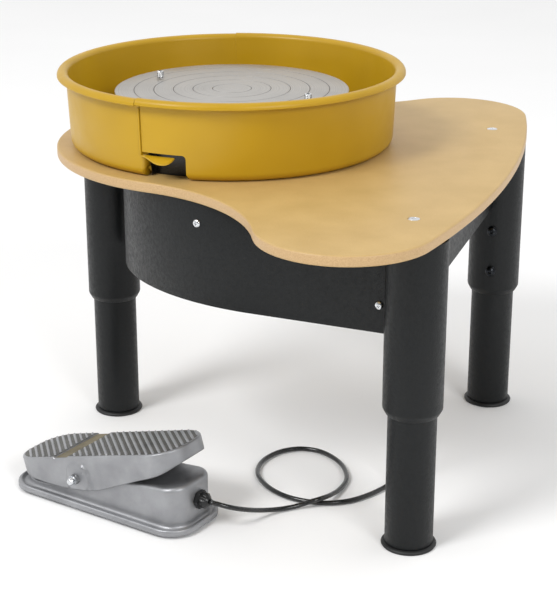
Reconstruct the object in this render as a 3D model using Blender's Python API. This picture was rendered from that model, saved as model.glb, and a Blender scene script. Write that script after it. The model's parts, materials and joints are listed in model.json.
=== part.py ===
"""Electric pottery wheel on three telescopic legs, with a two-piece splash pan and a foot pedal.

Metres, +Z up, standing on Z = 0. The wheel's axis is vertical at WHEEL_AXIS. The front of the
table looks along -Y.
"""

import math

import bmesh
import bpy
from mathutils import Matrix, Vector

# ---- Driving dimensions -------------------------------------------------------------------
INCH = 0.0254
GAP = 0.0004                          # clearance between pieces that rest on each other
WHEEL_AXIS = (-0.0689, 0.1192)        # the wheel's axis, from the middle of the footprint

TABLE_TOP = 0.392
TABLE_THICK = 0.5 * INCH + 0.0003
TABLE_LOW = TABLE_TOP - TABLE_THICK
WHEEL_R = 6.0 * INCH
WHEEL_TOP = 0.460
WHEEL_THICK = 0.0095
WHEEL_LOW = WHEEL_TOP - WHEEL_THICK
BAT_PIN_R = 4.7 * INCH                # circle of the two bat pins
BAT_PIN_ANGLES = (145.0, -35.0)
SHAFT_R = 0.375 * INCH
HUB_R = 0.027

# Splash pan: two halves of a turned shell.
PAN_RIM = 0.491
PAN_RIM_R = 0.225
PAN_WALL_R = 0.2138
PAN_FLOOR = 0.3924
PAN_SHEET = 0.003
PAN_COLLAR_R = 0.044
PAN_FRONT_SEAM = 240.5                # degrees
PAN_BACK_SEAM = 90.0
NOTCH_ARC = 15.8                      # degrees, from the front seam
NOTCH_TOP = 0.4240
TONGUE_LOW = 0.4185

# Legs: a fixed sleeve on each, and a tube that slides in it.
SLEEVE_R = 2.75 * INCH / 2
SLEEVE_BORE = 0.0318
SLEEVE_LOW = 0.168
TUBE_R = 2.25 * INCH / 2
TUBE_WALL = 0.0025
TUBE_TOP = 0.312
FOOT_R = 0.0330
FOOT_RIM = 0.005
LEGS = {"left": (-0.164, 0.015), "front": (0.2135, -0.3765), "back": (0.358, 0.046)}
TABLE_SCREWS = {"left": (-0.164, 0.015), "front": (0.2105, -0.3515), "back": (0.3485, 0.0565)}
LEG_BOLT_HEIGHTS = (0.204, 0.261)
LEG_BOLT_AIMS = {"left": 12.0, "front": 70.8, "back": 255.0}

# Table outline: three round lobes joined by tangent arcs.
LOBE_WHEEL = (0.0, 0.0, 0.229)
LOBE_FRONT = (0.1335, -0.3795, 0.1025)
LOBE_BACK = (0.3075, 0.145, 0.0985)
WAIST_R = 0.230
FLANK_R = 1.390

# Sheet panels under the table.
SHEET = 0.0025
SKIRT_LOW = 0.251
PLATE_LOW = 0.291

# Drive.
BELT_Z = 0.273
BELT_WIDE = 0.010
BELT_THICK = 0.003
DRIVEN_R = 0.078
DRIVER_R = 0.014
MOTOR = (0.146, -0.092)
MOTOR_R = 0.040

# Pedal, in its own frame: +X to the toe, +Z up.
PEDAL_AT = (-0.140, -0.266)
PEDAL_YAW = -33.5
PEDAL_HALF_LONG = 0.134
PEDAL_HALF_WIDE = 0.052
BASE_LOW = 0.0035
FLANGE_TOP = 0.0115
BASE_HALF_WIDE = 0.0388
CAST_WALL = 0.004
PIVOT = (-0.026, 0.041)
TREADLE_HALF_WIDE = 0.044
TREADLE_HEEL = -0.133
TREADLE_TOE = 0.116
TREADLE_SLOPE = 0.283
TREADLE_TOP = 0.0767                  # height of its top face over the pedal's middle
SENSOR = (0.058, 0.033)
GLAND = (0.1250, 0.002, 0.036)

CORD_R = 0.003
# From the pedal to the control box, as (x, y, z) from the wheel's axis.
CORD_ROUTE = [
    (-0.0208, -0.3424, 0.0360), (-0.0155, -0.3450, 0.0358), (0.0028, -0.3438, 0.0298),
    (0.0218, -0.3311, 0.0200), (0.0410, -0.3140, 0.0103), (0.0608, -0.3009, 0.0048),
    (0.0770, -0.2938, 0.0041), (0.0893, -0.2902, 0.0058), (0.1000, -0.2884, 0.0088),
    (0.1074, -0.2868, 0.0103), (0.1140, -0.2830, 0.0107), (0.1211, -0.2760, 0.0097),
    (0.1282, -0.2640, 0.0072), (0.1354, -0.2504, 0.0050), (0.1445, -0.2280, 0.0038),
    (0.1475, -0.2080, 0.0038), (0.1447, -0.1838, 0.0038), (0.1374, -0.1637, 0.0038),
    (0.1250, -0.1450, 0.0038), (0.1100, -0.1325, 0.0038), (0.0895, -0.1272, 0.0038),
    (0.0690, -0.1327, 0.0038), (0.0537, -0.1444, 0.0038), (0.0405, -0.1632, 0.0038),
    (0.0340, -0.1860, 0.0038), (0.0350, -0.2080, 0.0038), (0.0430, -0.2303, 0.0038),
    (0.0560, -0.2507, 0.0038), (0.0742, -0.2675, 0.0038), (0.0960, -0.2779, 0.0038),
    (0.1210, -0.2824, 0.0038), (0.1470, -0.2767, 0.0038), (0.1700, -0.2626, 0.0038),
    (0.1901, -0.2443, 0.0040), (0.2010, -0.2333, 0.0062), (0.2100, -0.2245, 0.0140),
    (0.2165, -0.2185, 0.0290), (0.2198, -0.2156, 0.0560), (0.2205, -0.2150, 0.1200),
    (0.2205, -0.2150, 0.2951),
]
CORD_STEP = 0.016
CONTROL_GLAND = (0.2205, -0.2150)


# ---- Materials ----------------------------------------------------------------------------
def make_material(name, colour, roughness, metallic=0.0):
    material = bpy.data.materials.new(name)
    material.use_nodes = True
    shader = material.node_tree.nodes["Principled BSDF"]
    shader.inputs["Base Color"].default_value = (*colour, 1.0)
    shader.inputs["Roughness"].default_value = roughness
    shader.inputs["Metallic"].default_value = metallic
    return material


def make_materials():
    return {
        "board": make_material("board", (0.66, 0.46, 0.21), 0.6),
        "pan": make_material("pan", (0.55, 0.33, 0.03), 0.35),
        "turned_aluminium": make_material("turned_aluminium", (0.6, 0.6, 0.6), 0.35, 1.0),
        "cast_aluminium": make_material("cast_aluminium", (0.45, 0.46, 0.47), 0.5, 0.8),
        "black_paint": make_material("black_paint", (0.012, 0.016, 0.018), 0.45),
        "rubber": make_material("rubber", (0.01, 0.01, 0.01), 0.7),
        "zinc": make_material("zinc", (0.6, 0.6, 0.62), 0.3, 1.0),
        "black_steel": make_material("black_steel", (0.03, 0.03, 0.033), 0.35, 0.8),
        "steel": make_material("steel", (0.45, 0.45, 0.46), 0.35, 1.0),
        "black_plastic": make_material("black_plastic", (0.01, 0.01, 0.011), 0.3),
    }


# ---- Outlines -----------------------------------------------------------------------------
def arc_points(centre, radius, start, end, step=8.0):
    """Points on an arc between two angles in degrees, both ends included."""
    count = max(2, math.ceil(abs(end - start) / step))
    angles = [math.radians(start + (end - start) * i / count) for i in range(count + 1)]
    return [(centre[0] + radius * math.cos(a), centre[1] + radius * math.sin(a)) for a in angles]


def circle(centre, radius, sides):
    return arc_points(centre, radius, 0.0, 360.0, 360.0 / sides)[:-1]


def tangent_centre(first, second, reach_first, reach_second, side):
    """The point at these two distances from two circles' centres, on one side of their line."""
    a = Vector(first[:2])
    b = Vector(second[:2])
    apart = (b - a).length
    along = (reach_first**2 - reach_second**2 + apart**2) / (2 * apart)
    across = math.sqrt(reach_first**2 - along**2)
    forward = (b - a) / apart
    return a + forward * along + Vector((-forward.y, forward.x)) * across * side


def heading(origin, target):
    return math.degrees(math.atan2(target[1] - origin[1], target[0] - origin[0]))


def turned_arc(centre, radius, start, end, left_hand, step):
    """An arc from one heading to another, counter-clockwise where left_hand is true."""
    turn = (end - start) % 360.0
    if not left_hand:
        turn -= 360.0
    return arc_points(centre, radius, start, start + turn, step)


def table_outline():
    """Counter-clockwise: wheel lobe, front waist, front lobe, flank, back lobe, back waist."""
    wheel, front, back = LOBE_WHEEL, LOBE_FRONT, LOBE_BACK
    waist_front = tangent_centre(wheel, front, wheel[2] + WAIST_R, front[2] + WAIST_R, -1)
    waist_back = tangent_centre(wheel, back, wheel[2] + WAIST_R, back[2] + WAIST_R, 1)
    flank = tangent_centre(front, back, FLANK_R - front[2], FLANK_R - back[2], 1)
    arcs = [
        (wheel, wheel[2], heading(wheel, waist_back), heading(wheel, waist_front), True, 6.0),
        (waist_front, WAIST_R, heading(waist_front, wheel), heading(waist_front, front), False, 6.0),
        (front, front[2], heading(front, waist_front), heading(flank, front), True, 9.0),
        (flank, FLANK_R, heading(flank, front), heading(flank, back), True, 3.0),
        (back, back[2], heading(flank, back), heading(back, waist_back), True, 9.0),
        (waist_back, WAIST_R, heading(waist_back, back), heading(waist_back, wheel), False, 6.0),
    ]
    return without_repeats([point for arc in arcs for point in turned_arc(*arc)])


def without_repeats(points):
    kept = []
    for point in points:
        if not kept or math.dist(point, kept[-1]) > 1e-5:
            kept.append(point)
    if math.dist(kept[0], kept[-1]) < 1e-5:
        kept.pop()
    return kept


def bezier(a, b, c, d, count):
    """Points on a cubic curve, its first end left out."""
    points = []
    for i in range(1, count + 1):
        t = i / count
        u = 1.0 - t
        weights = (u**3, 3 * u * u * t, 3 * u * t * t, t**3)
        points.append(tuple(sum(w * p[k] for w, p in zip(weights, (a, b, c, d))) for k in range(2)))
    return points


def offset_path(path, distance):
    """An open path moved sideways, to its left where distance is positive."""
    moved = []
    for i, point in enumerate(path):
        before = Vector(path[max(i - 1, 0)])
        after = Vector(path[min(i + 1, len(path) - 1)])
        along = (after - before).normalized()
        moved.append((point[0] - along.y * distance, point[1] + along.x * distance))
    return moved


def between(a, b, clear_a, clear_b):
    """The ends of a straight line from a to b, cut back by a clearance at each end."""
    start = Vector(a)
    end = Vector(b)
    along = (end - start).normalized()
    return [tuple(start + along * clear_a), tuple(end - along * clear_b)]


# ---- Solids -------------------------------------------------------------------------------
def finish_mesh(name, bm, material, parent, location=(0, 0, 0), rotation=(0, 0, 0), smooth=30.0):
    bmesh.ops.recalc_face_normals(bm, faces=bm.faces)
    mesh = bpy.data.meshes.new(name)
    bm.to_mesh(mesh)
    bm.free()
    if smooth:
        mesh.shade_smooth()
        mesh.set_sharp_from_angle(angle=math.radians(smooth))
    obj = bpy.data.objects.new(name, mesh)
    bpy.context.scene.collection.objects.link(obj)
    obj.parent = parent
    obj.location = location
    obj.rotation_euler = rotation
    if material:
        mesh.materials.append(material)
    return obj


def prism_mesh(outline, low, high):
    bm = bmesh.new()
    bottom = [bm.verts.new((x, y, low)) for x, y in outline]
    top = [bm.verts.new((x, y, high)) for x, y in outline]
    bm.faces.new(bottom[::-1])
    bm.faces.new(top)
    for i in range(len(outline)):
        j = (i + 1) % len(outline)
        bm.faces.new((bottom[i], bottom[j], top[j], top[i]))
    return bm


def turned_mesh(profile, sides, start=0.0, end=360.0):
    """A closed (radius, height) profile turned about Z, all the way round or as a capped sector."""
    whole = abs(end - start - 360.0) < 1e-9
    bm = bmesh.new()
    on_axis = [bm.verts.new((0, 0, z)) if r < 1e-9 else None for r, z in profile]
    rings = []
    for i in range(sides if whole else sides + 1):
        a = math.radians(start + (end - start) * i / sides)
        ring = [
            on_axis[k] or bm.verts.new((r * math.cos(a), r * math.sin(a), z))
            for k, (r, z) in enumerate(profile)
        ]
        rings.append(ring)
    for i in range(sides):
        here, there = rings[i], rings[(i + 1) % len(rings)]
        for k in range(len(profile)):
            m = (k + 1) % len(profile)
            corners = []
            for vertex in (here[k], here[m], there[m], there[k]):
                if vertex not in corners:
                    corners.append(vertex)
            if len(corners) > 2:
                bm.faces.new(corners)
    if not whole:
        bm.faces.new(rings[0])
        bm.faces.new(rings[-1][::-1])
    return bm


def lofted_mesh(loops):
    """Closed loops of equal length joined in order, each mirrored about its middle pair of points.

    The first and last loops are closed by strips across them, from each point to its mirror.
    """
    bm = bmesh.new()
    rings = [[bm.verts.new(p) for p in loop] for loop in loops]
    count = len(rings[0])
    for here, there in zip(rings, rings[1:]):
        for i in range(count):
            j = (i + 1) % count
            bm.faces.new((here[i], here[j], there[j], there[i]))
    for ring in (rings[0], rings[-1]):
        for i in range(count // 2 - 1):
            bm.faces.new((ring[i], ring[i + 1], ring[count - 2 - i], ring[count - 1 - i]))
    return bm


def rounded_loop(heel, toe, half_wide, heel_r, toe_r, steps=5):
    """A slab's plan: the +Y side from heel to toe, then its mirror back again."""
    side = arc_points((heel + heel_r, half_wide - heel_r), heel_r, 180.0, 90.0, 90.0 / steps)
    middle = 6
    first, last = heel + heel_r, toe - toe_r
    side += [(first + (last - first) * i / middle, half_wide) for i in range(1, middle)]
    side += arc_points((toe - toe_r, half_wide - toe_r), toe_r, 90.0, 0.0, 90.0 / steps)
    return side + [(x, -y) for x, y in reversed(side)]


def at_height(loop, height):
    """The loop in 3-D, where height is a number or a function of x."""
    return [(x, y, height(x) if callable(height) else height) for x, y in loop]


def union_mesh(first, second):
    """Puts the second mesh's faces into the first, to be joined by a Boolean on the object."""
    bpy_mesh = bpy.data.meshes.new("part")
    second.to_mesh(bpy_mesh)
    second.free()
    first.from_mesh(bpy_mesh)
    bpy.data.meshes.remove(bpy_mesh)
    return first


def add_boolean(obj, tool, operation="DIFFERENCE"):
    modifier = obj.modifiers.new(tool.name, "BOOLEAN")
    modifier.operation = operation
    modifier.solver = "EXACT"
    modifier.object = tool
    tool.hide_render = True
    tool.display_type = "WIRE"


def drill(obj, name, radius, start, end, parent, sides=12):
    """Cuts a round hole along the line from start to end, given in the parent's frame."""
    along = Vector(end) - Vector(start)
    bm = prism_mesh(circle((0, 0), radius, sides), 0.0, along.length)
    turn = along.to_track_quat("Z", "Y").to_euler()
    tool = finish_mesh(name, bm, None, parent, start, turn, smooth=0)
    add_boolean(obj, tool)


def box_outline(x0, y0, x1, y1):
    return [(x0, y0), (x1, y0), (x1, y1), (x0, y1)]


def aim(angle):
    """The rotation that lays a piece turned about Z along a horizontal heading, in degrees."""
    return (math.pi / 2, 0.0, math.radians(angle) + math.pi / 2)


def polar(angle, radius):
    a = math.radians(angle)
    return radius * math.cos(a), radius * math.sin(a)


# ---- Table, panels and legs ---------------------------------------------------------------
def make_table(frame, mats):
    table = finish_mesh(
        "table_top", prism_mesh(table_outline(), TABLE_LOW, TABLE_TOP), mats["board"], frame
    )
    drill(table, "shaft_hole", 0.034, (0, 0, TABLE_LOW - 0.01), (0, 0, TABLE_TOP + 0.01), frame, 24)
    head_r, shank_r, head_deep = 0.0070, 0.0028, 0.0038
    shank_low = TABLE_LOW - 0.012
    seat = [(0, -0.03), (shank_r + GAP, -0.03), (shank_r + GAP, -head_deep - GAP)]
    seat += [(head_r + 2 * GAP, 0.0), (head_r + 2 * GAP, 0.01), (0, 0.01)]
    screw = [(0, shank_low - TABLE_TOP), (shank_r, shank_low - TABLE_TOP), (shank_r, -head_deep)]
    screw += [(head_r, -0.0002), (0, -0.0002)]
    for leg, (x, y) in TABLE_SCREWS.items():
        tool = finish_mesh(
            "screw_seat_" + leg, turned_mesh(seat, 12), None, frame, (x, y, TABLE_TOP), smooth=0
        )
        add_boolean(table, tool)
        finish_mesh(
            "table_screw_" + leg, turned_mesh(screw, 12), mats["zinc"], frame, (x, y, TABLE_TOP)
        )


def bent_sheet(path, low, high):
    return prism_mesh(path + offset_path(path, SHEET)[::-1], low, high)


def skirt_path():
    """From the front leg to the left leg: straight, then a wide bend back under the pan."""
    straight_end = (0.030, -0.2785)
    bend_end = (-0.1372, -0.085)
    path = [(0.1900, -0.3464), straight_end]
    path += bezier(straight_end, (-0.066, -0.2390), (-0.1290, -0.1600), bend_end, 12)
    path.append((-0.1425, -0.0215))
    return path[::-1]


def outer_face(path, x):
    """Where a path that runs to +X crosses x, and the heading of its right-hand side there."""
    for a, b in zip(path, path[1:]):
        if a[0] <= x <= b[0]:
            y = a[1] + (b[1] - a[1]) * (x - a[0]) / (b[0] - a[0])
            return y, heading(a, b) - 90.0
    raise ValueError("the path doesn't reach x")


def make_panels(frame, mats):
    top = TABLE_LOW - GAP
    skirt = finish_mesh("front_skirt", bent_sheet(skirt_path(), SKIRT_LOW, top), mats["black_paint"], frame)
    clear = SLEEVE_R + 0.0006
    side = between(LEGS["front"], LEGS["back"], clear, clear)
    finish_mesh("side_plate", bent_sheet(side, PLATE_LOW, top), mats["black_paint"], frame)
    corner = (0.070, 0.128)
    to_back = between(corner, LEGS["back"], 0.05, clear)
    to_left = between(corner, LEGS["left"], 0.05, clear)
    rear = [to_left[1], to_left[0]] + bezier(to_left[0], corner, corner, to_back[0], 6) + [to_back[1]]
    finish_mesh("rear_plate", bent_sheet(rear, PLATE_LOW, top), mats["black_paint"], frame)
    shank, head = 0.0032, 0.0052
    screw = [
        (0, -0.0060), (shank, -0.0060), (shank, GAP), (head, GAP), (head - 0.0006, 0.0023),
        (0.0022, 0.0031), (0, 0.0031),
    ]
    for name, x, z in (("skirt_screw_left", -0.0360, 0.352), ("skirt_screw_right", 0.1755, 0.285)):
        y, angle = outer_face(skirt_path(), x)
        out = polar(angle, 0.02)
        drill(skirt, name + "_hole", 0.0037, (x - out[0], y - out[1], z), (x + out[0], y + out[1], z), frame)
        finish_mesh(name, turned_mesh(screw, 12), mats["zinc"], frame, (x, y, z), aim(angle))


def make_legs(frame, mats):
    top = TABLE_LOW - GAP
    lip = 0.006
    sleeve = [
        (0, top), (0, top - 0.006), (SLEEVE_BORE, top - 0.006), (SLEEVE_BORE, SLEEVE_LOW + 0.022),
        (TUBE_R + GAP, SLEEVE_LOW + 0.018), (TUBE_R + GAP, SLEEVE_LOW), (SLEEVE_R - 0.0028, SLEEVE_LOW),
        (SLEEVE_R, SLEEVE_LOW + lip), (SLEEVE_R, top),
    ]
    tube_low = FOOT_RIM + GAP
    tube_in = TUBE_R - TUBE_WALL
    tube = [(TUBE_R, TUBE_TOP), (tube_in, TUBE_TOP), (tube_in, tube_low), (TUBE_R, tube_low)]
    plug_r = tube_in - GAP
    foot = [
        (0, 0), (FOOT_R - 0.0015, 0), (FOOT_R, 0.0015), (FOOT_R, FOOT_RIM - 0.001),
        (FOOT_R - 0.001, FOOT_RIM), (plug_r, FOOT_RIM), (plug_r, 0.024), (0, 0.024),
    ]
    stem = SLEEVE_R - TUBE_R - GAP
    bolt = [
        (0, -stem), (0.0034, -stem), (0.0034, 0.0006), (0.0070, 0.0006), (0.0070, 0.0037),
        (0.0050, 0.0058), (0, 0.0064),
    ]
    for leg, (x, y) in LEGS.items():
        paint = mats["black_paint"]
        body = finish_mesh("leg_sleeve_" + leg, turned_mesh(sleeve, 24), paint, frame, (x, y, 0))
        screw = TABLE_SCREWS[leg]
        drill(body, "sleeve_screw_hole_" + leg, 0.0034, (*screw, top - 0.01), (*screw, top + 0.01), frame)
        aim_to = LEG_BOLT_AIMS[leg]
        across = polar(aim_to, SLEEVE_R)
        for place, height in zip(("lower", "upper"), LEG_BOLT_HEIGHTS):
            name = f"leg_bolt_{leg}_{place}"
            seat = (x + across[0], y + across[1], height)
            start = (x + across[0] * 0.6, y + across[1] * 0.6, height)
            end = (x + across[0] * 1.3, y + across[1] * 1.3, height)
            drill(body, name + "_hole", 0.0039, start, end, frame)
            finish_mesh(name, turned_mesh(bolt, 12), mats["black_steel"], frame, seat, aim(aim_to))
        finish_mesh("leg_tube_" + leg, turned_mesh(tube, 24), paint, frame, (x, y, 0))
        finish_mesh("foot_" + leg, turned_mesh(foot, 24), mats["rubber"], frame, (x, y, 0))


# ---- Wheel, bearings and drive ------------------------------------------------------------
def make_wheel(frame, mats):
    hub_low = 0.4180
    shaft_top = WHEEL_TOP - 0.008
    bore = SHAFT_R + GAP
    head = [
        (0, WHEEL_TOP), (WHEEL_R - 0.0015, WHEEL_TOP), (WHEEL_R, WHEEL_TOP - 0.0015),
        (WHEEL_R, WHEEL_LOW - 0.004), (WHEEL_R - 0.004, WHEEL_LOW - 0.004), (WHEEL_R - 0.006, WHEEL_LOW),
        (HUB_R + 0.01, WHEEL_LOW), (HUB_R, WHEEL_LOW - 0.008), (HUB_R, hub_low), (bore, hub_low),
        (bore, shaft_top + GAP), (0, shaft_top + GAP),
    ]
    wheel = finish_mesh("wheelhead", turned_mesh(head, 40), mats["turned_aluminium"], frame)
    pin = [
        (0, 0.0085), (0.0038, 0.0085), (0.0047, 0.0076), (0.0047, -0.0085), (0, -0.0085),
    ]
    for name, angle in zip(("bat_pin_left", "bat_pin_right"), BAT_PIN_ANGLES):
        x, y = polar(angle, BAT_PIN_R)
        drill(wheel, name + "_hole", 0.0053, (x, y, WHEEL_LOW - 0.01), (x, y, WHEEL_TOP + 0.01), frame)
        finish_mesh(name, turned_mesh(pin, 12), mats["zinc"], frame, (x, y, WHEEL_TOP))
    shaft_low = BELT_Z - 0.016
    shaft = [(0, shaft_low), (SHAFT_R, shaft_low), (SHAFT_R, shaft_top), (0, shaft_top)]
    finish_mesh("wheel_shaft", turned_mesh(shaft, 16), mats["steel"], frame)
    half = BELT_WIDE / 2 + 0.001
    flange_r = DRIVEN_R + 0.005
    pulley = [
        (bore, BELT_Z - half - 0.003), (flange_r, BELT_Z - half - 0.003), (flange_r, BELT_Z - half),
        (DRIVEN_R, BELT_Z - half), (DRIVEN_R, BELT_Z + half), (flange_r, BELT_Z + half),
        (flange_r, BELT_Z + half + 0.003), (0.022, BELT_Z + half + 0.003), (0.022, BELT_Z + 0.018),
        (bore, BELT_Z + 0.018),
    ]
    finish_mesh("driven_pulley", turned_mesh(pulley, 32), mats["cast_aluminium"], frame)


def make_bearings(frame, mats):
    bar_high = TABLE_LOW - GAP
    bar_low = bar_high - 0.008
    flange_high = bar_low - GAP
    left = Vector(LEGS["left"])
    along = -left.normalized()
    angle = math.degrees(math.atan2(along.y, along.x))
    front = Vector(LEGS["front"])
    across = Vector(LEGS["back"]) - front
    reach = (front.cross(across)) / along.cross(across)
    half = 0.0395
    start = -0.086
    end = reach - 0.016
    bar = prism_mesh(box_outline(start, -half, end, half), bar_low, bar_high)
    turn = (0, 0, math.radians(angle))
    bridge = finish_mesh("bearing_bridge", bar, mats["black_paint"], frame, (0, 0, 0), turn)
    drill(bridge, "bridge_hole", 0.0315, (0, 0, bar_low - 0.01), (0, 0, bar_high + 0.01), frame, 24)
    seat_r = 0.0235
    inner_r = 0.0150
    low = 0.296
    housing = [
        (inner_r, low + 0.0125), (seat_r, low + 0.0125), (seat_r, low), (0.030, low),
        (0.030, flange_high - 0.007), (0.054, flange_high - 0.007), (0.054, flange_high),
        (0.030, flange_high), (0.030, bar_high), (seat_r, bar_high), (seat_r, bar_high - 0.0125),
        (inner_r, bar_high - 0.0125),
    ]
    finish_mesh("bearing_housing", turned_mesh(housing, 20), mats["cast_aluminium"], frame)
    ring_in = SHAFT_R + GAP
    ring_out = seat_r - 2 * GAP
    for name, start in (("lower_bearing", low + 0.0003), ("upper_bearing", bar_high - 0.0121)):
        ring = [(ring_in, start), (ring_out, start), (ring_out, start + 0.0117), (ring_in, start + 0.0117)]
        finish_mesh(name, turned_mesh(ring, 16), mats["steel"], frame)
    return flange_high


def make_drive(frame, mats, plate_high):
    motor_high = plate_high - 0.006 - GAP
    motor_low = motor_high - 0.070
    mx, my = MOTOR
    plate_outline = box_outline(mx - 0.048, my - 0.048, mx + 0.048, my + 0.100)
    plate = prism_mesh(plate_outline, plate_high - 0.006, plate_high)
    finish_mesh("motor_plate", plate, mats["steel"], frame)
    nose = motor_low - 0.004
    bore = 0.0040 + GAP + 0.0003
    body = [
        (0, motor_high), (MOTOR_R, motor_high), (MOTOR_R, motor_low), (0.013, motor_low),
        (0.013, nose), (bore, nose), (bore, nose + 0.016), (0, nose + 0.016),
    ]
    finish_mesh("motor_body", turned_mesh(body, 20), mats["black_paint"], frame, (mx, my, 0))
    shaft_low = BELT_Z - 0.010
    shaft = [(0, shaft_low), (0.0040, shaft_low), (0.0040, nose + 0.015), (0, nose + 0.015)]
    finish_mesh("motor_shaft", turned_mesh(shaft, 16), mats["steel"], frame, (mx, my, 0))
    half = BELT_WIDE / 2 + 0.001
    rim = DRIVER_R + 0.005
    bore = 0.0040 + GAP
    pulley = [
        (bore, BELT_Z - half - 0.002), (rim, BELT_Z - half - 0.002), (rim, BELT_Z - half),
        (DRIVER_R, BELT_Z - half), (DRIVER_R, BELT_Z + half), (rim, BELT_Z + half),
        (rim, BELT_Z + half + 0.002), (bore, BELT_Z + half + 0.002),
    ]
    finish_mesh("motor_pulley", turned_mesh(pulley, 16), mats["steel"], frame, (mx, my, 0))
    bm = prism_mesh(belt_outline(GAP + 0.0003 + BELT_THICK), BELT_Z - BELT_WIDE / 2, BELT_Z + BELT_WIDE / 2)
    belt = finish_mesh("drive_belt", bm, mats["rubber"], frame)
    bm = prism_mesh(belt_outline(GAP + 0.0003), BELT_Z - BELT_WIDE, BELT_Z + BELT_WIDE)
    add_boolean(belt, finish_mesh("belt_inside", bm, None, frame, smooth=0))


def belt_outline(clear):
    """Round both pulleys at a clearance, with straight runs between them."""
    big, small = DRIVEN_R + clear, DRIVER_R + clear
    facing = heading((0, 0), MOTOR)
    apart = math.hypot(*MOTOR)
    lean = math.degrees(math.acos((big - small) / apart))
    points = arc_points((0, 0), big, facing + lean, facing + 360.0 - lean, 7.5)
    points += arc_points(MOTOR, small, facing - lean, facing + lean, 15.0)
    return without_repeats(points)


# ---- Control box --------------------------------------------------------------------------
def make_controls(frame, mats):
    """Hangs under the table beside the front leg, along the side plate."""
    high = TABLE_LOW - GAP
    low = 0.312
    cover = 0.0025
    angle = heading(LEGS["front"], LEGS["back"])
    at = (0.2165, -0.2105)
    place = bpy.data.objects.new("control_frame", None)
    bpy.context.scene.collection.objects.link(place)
    place.parent = frame
    place.location = (*at, 0)
    place.rotation_euler = (0, 0, math.radians(angle))
    wall = 0.002
    half_long, half_wide = 0.070, 0.036
    outer = rounded_loop(-half_long, half_long, half_wide, 0.006, 0.006, 2)
    inner = rounded_loop(-half_long + wall, half_long - wall, half_wide - wall, 0.004, 0.004, 2)
    floor = low + cover + GAP
    loops = [
        at_height(outer, high), at_height(outer, floor), at_height(inner, floor),
        at_height(inner, high - wall),
    ]
    box = finish_mesh("control_box", lofted_mesh(loops), mats["black_paint"], place)
    lid = finish_mesh("control_cover", prism_mesh(outer, low, low + cover), mats["black_paint"], place)
    turn = math.radians(-angle)
    local = Matrix.Rotation(turn, 2) @ (Vector(CONTROL_GLAND) - Vector(at))
    gland = [
        (CORD_R + GAP, low - 0.0165), (0.0052, low - 0.0165), (0.0068, low - 0.009), (0.0095, low - 0.009),
        (0.0095, low - GAP), (0.0058, low - GAP), (0.0058, low + 0.010), (CORD_R + GAP, low + 0.010),
    ]
    drill(lid, "gland_hole", 0.0064, (*local, low - 0.01), (*local, low + 0.01), place)
    finish_mesh("control_gland", turned_mesh(gland, 16), mats["black_plastic"], place, (*local, 0))
    switch = (0.044, 0.0)
    hole_outline = box_outline(switch[0] - 0.0130, -0.0085, switch[0] + 0.0130, 0.0085)
    hole = prism_mesh(hole_outline, low - 0.01, low + 0.01)
    add_boolean(lid, finish_mesh("switch_hole", hole, None, place, smooth=0))
    bezel = finish_mesh(
        "switch_bezel",
        union_mesh(
            prism_mesh(box_outline(-0.0150, -0.0105, 0.0150, 0.0105), low - 0.0022, low - GAP),
            prism_mesh(box_outline(-0.0126, -0.0081, 0.0126, 0.0081), low - 0.0012, low + 0.016),
        ),
        mats["black_plastic"], place, (*switch, 0),
    )
    body = prism_mesh(box_outline(-0.0104, -0.0061, 0.0104, 0.0061), low - 0.01, low + 0.013)
    add_boolean(bezel, finish_mesh("switch_well", body, None, place, (*switch, 0), smooth=0))
    pivot = low + 0.004
    rocker = [(-0.0085, 0.004), (-0.0085, -0.0050), (0.0, -0.0045), (0.0085, -0.0078), (0.0085, 0.004)]
    bm = prism_mesh(rocker, -0.0056, 0.0056)
    finish_mesh("switch_rocker", bm, mats["black_plastic"], place, (*switch, pivot), (math.pi / 2, 0, 0))
    end = -half_long
    inlet_high = 0.340
    drill(box, "inlet_hole", 0.0064, (end - 0.01, 0, inlet_high), (end + 0.01, 0, inlet_high), place)
    inlet = [
        (0.0035, -0.008), (0.0058, -0.008), (0.0058, GAP), (0.0095, GAP), (0.0095, 0.008),
        (0.0060, 0.016), (0.0035, 0.016),
    ]
    bm = turned_mesh(inlet, 16)
    seat = (end, 0, inlet_high)
    finish_mesh("power_inlet", bm, mats["black_plastic"], place, seat, (0, -math.pi / 2, 0))
    return place


# ---- Splash pan ---------------------------------------------------------------------------
def pan_profile():
    floor_top = PAN_FLOOR + PAN_SHEET
    wall_in = PAN_WALL_R - PAN_SHEET
    collar_top = 0.4240
    return [
        (PAN_RIM_R, PAN_RIM - 0.0060), (PAN_RIM_R, PAN_RIM - 0.0022), (PAN_RIM_R - 0.0025, PAN_RIM),
        (wall_in + 0.0042, PAN_RIM), (wall_in + 0.0012, PAN_RIM - 0.0016), (wall_in, PAN_RIM - 0.0060),
        (wall_in - 0.0035, floor_top + 0.0090), (wall_in - 0.0064, floor_top + 0.0026),
        (wall_in - 0.0125, floor_top), (PAN_COLLAR_R + 0.0060, floor_top),
        (PAN_COLLAR_R + PAN_SHEET, floor_top + 0.003), (PAN_COLLAR_R + PAN_SHEET, collar_top),
        (PAN_COLLAR_R, collar_top), (PAN_COLLAR_R, PAN_FLOOR), (PAN_WALL_R - 0.0150, PAN_FLOOR),
        (PAN_WALL_R - 0.0072, PAN_FLOOR + 0.0028), (PAN_WALL_R - 0.0035, PAN_FLOOR + 0.0105),
        (PAN_WALL_R, PAN_RIM - 0.0100), (PAN_WALL_R + 0.0022, PAN_RIM - 0.0060),
    ]


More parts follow.
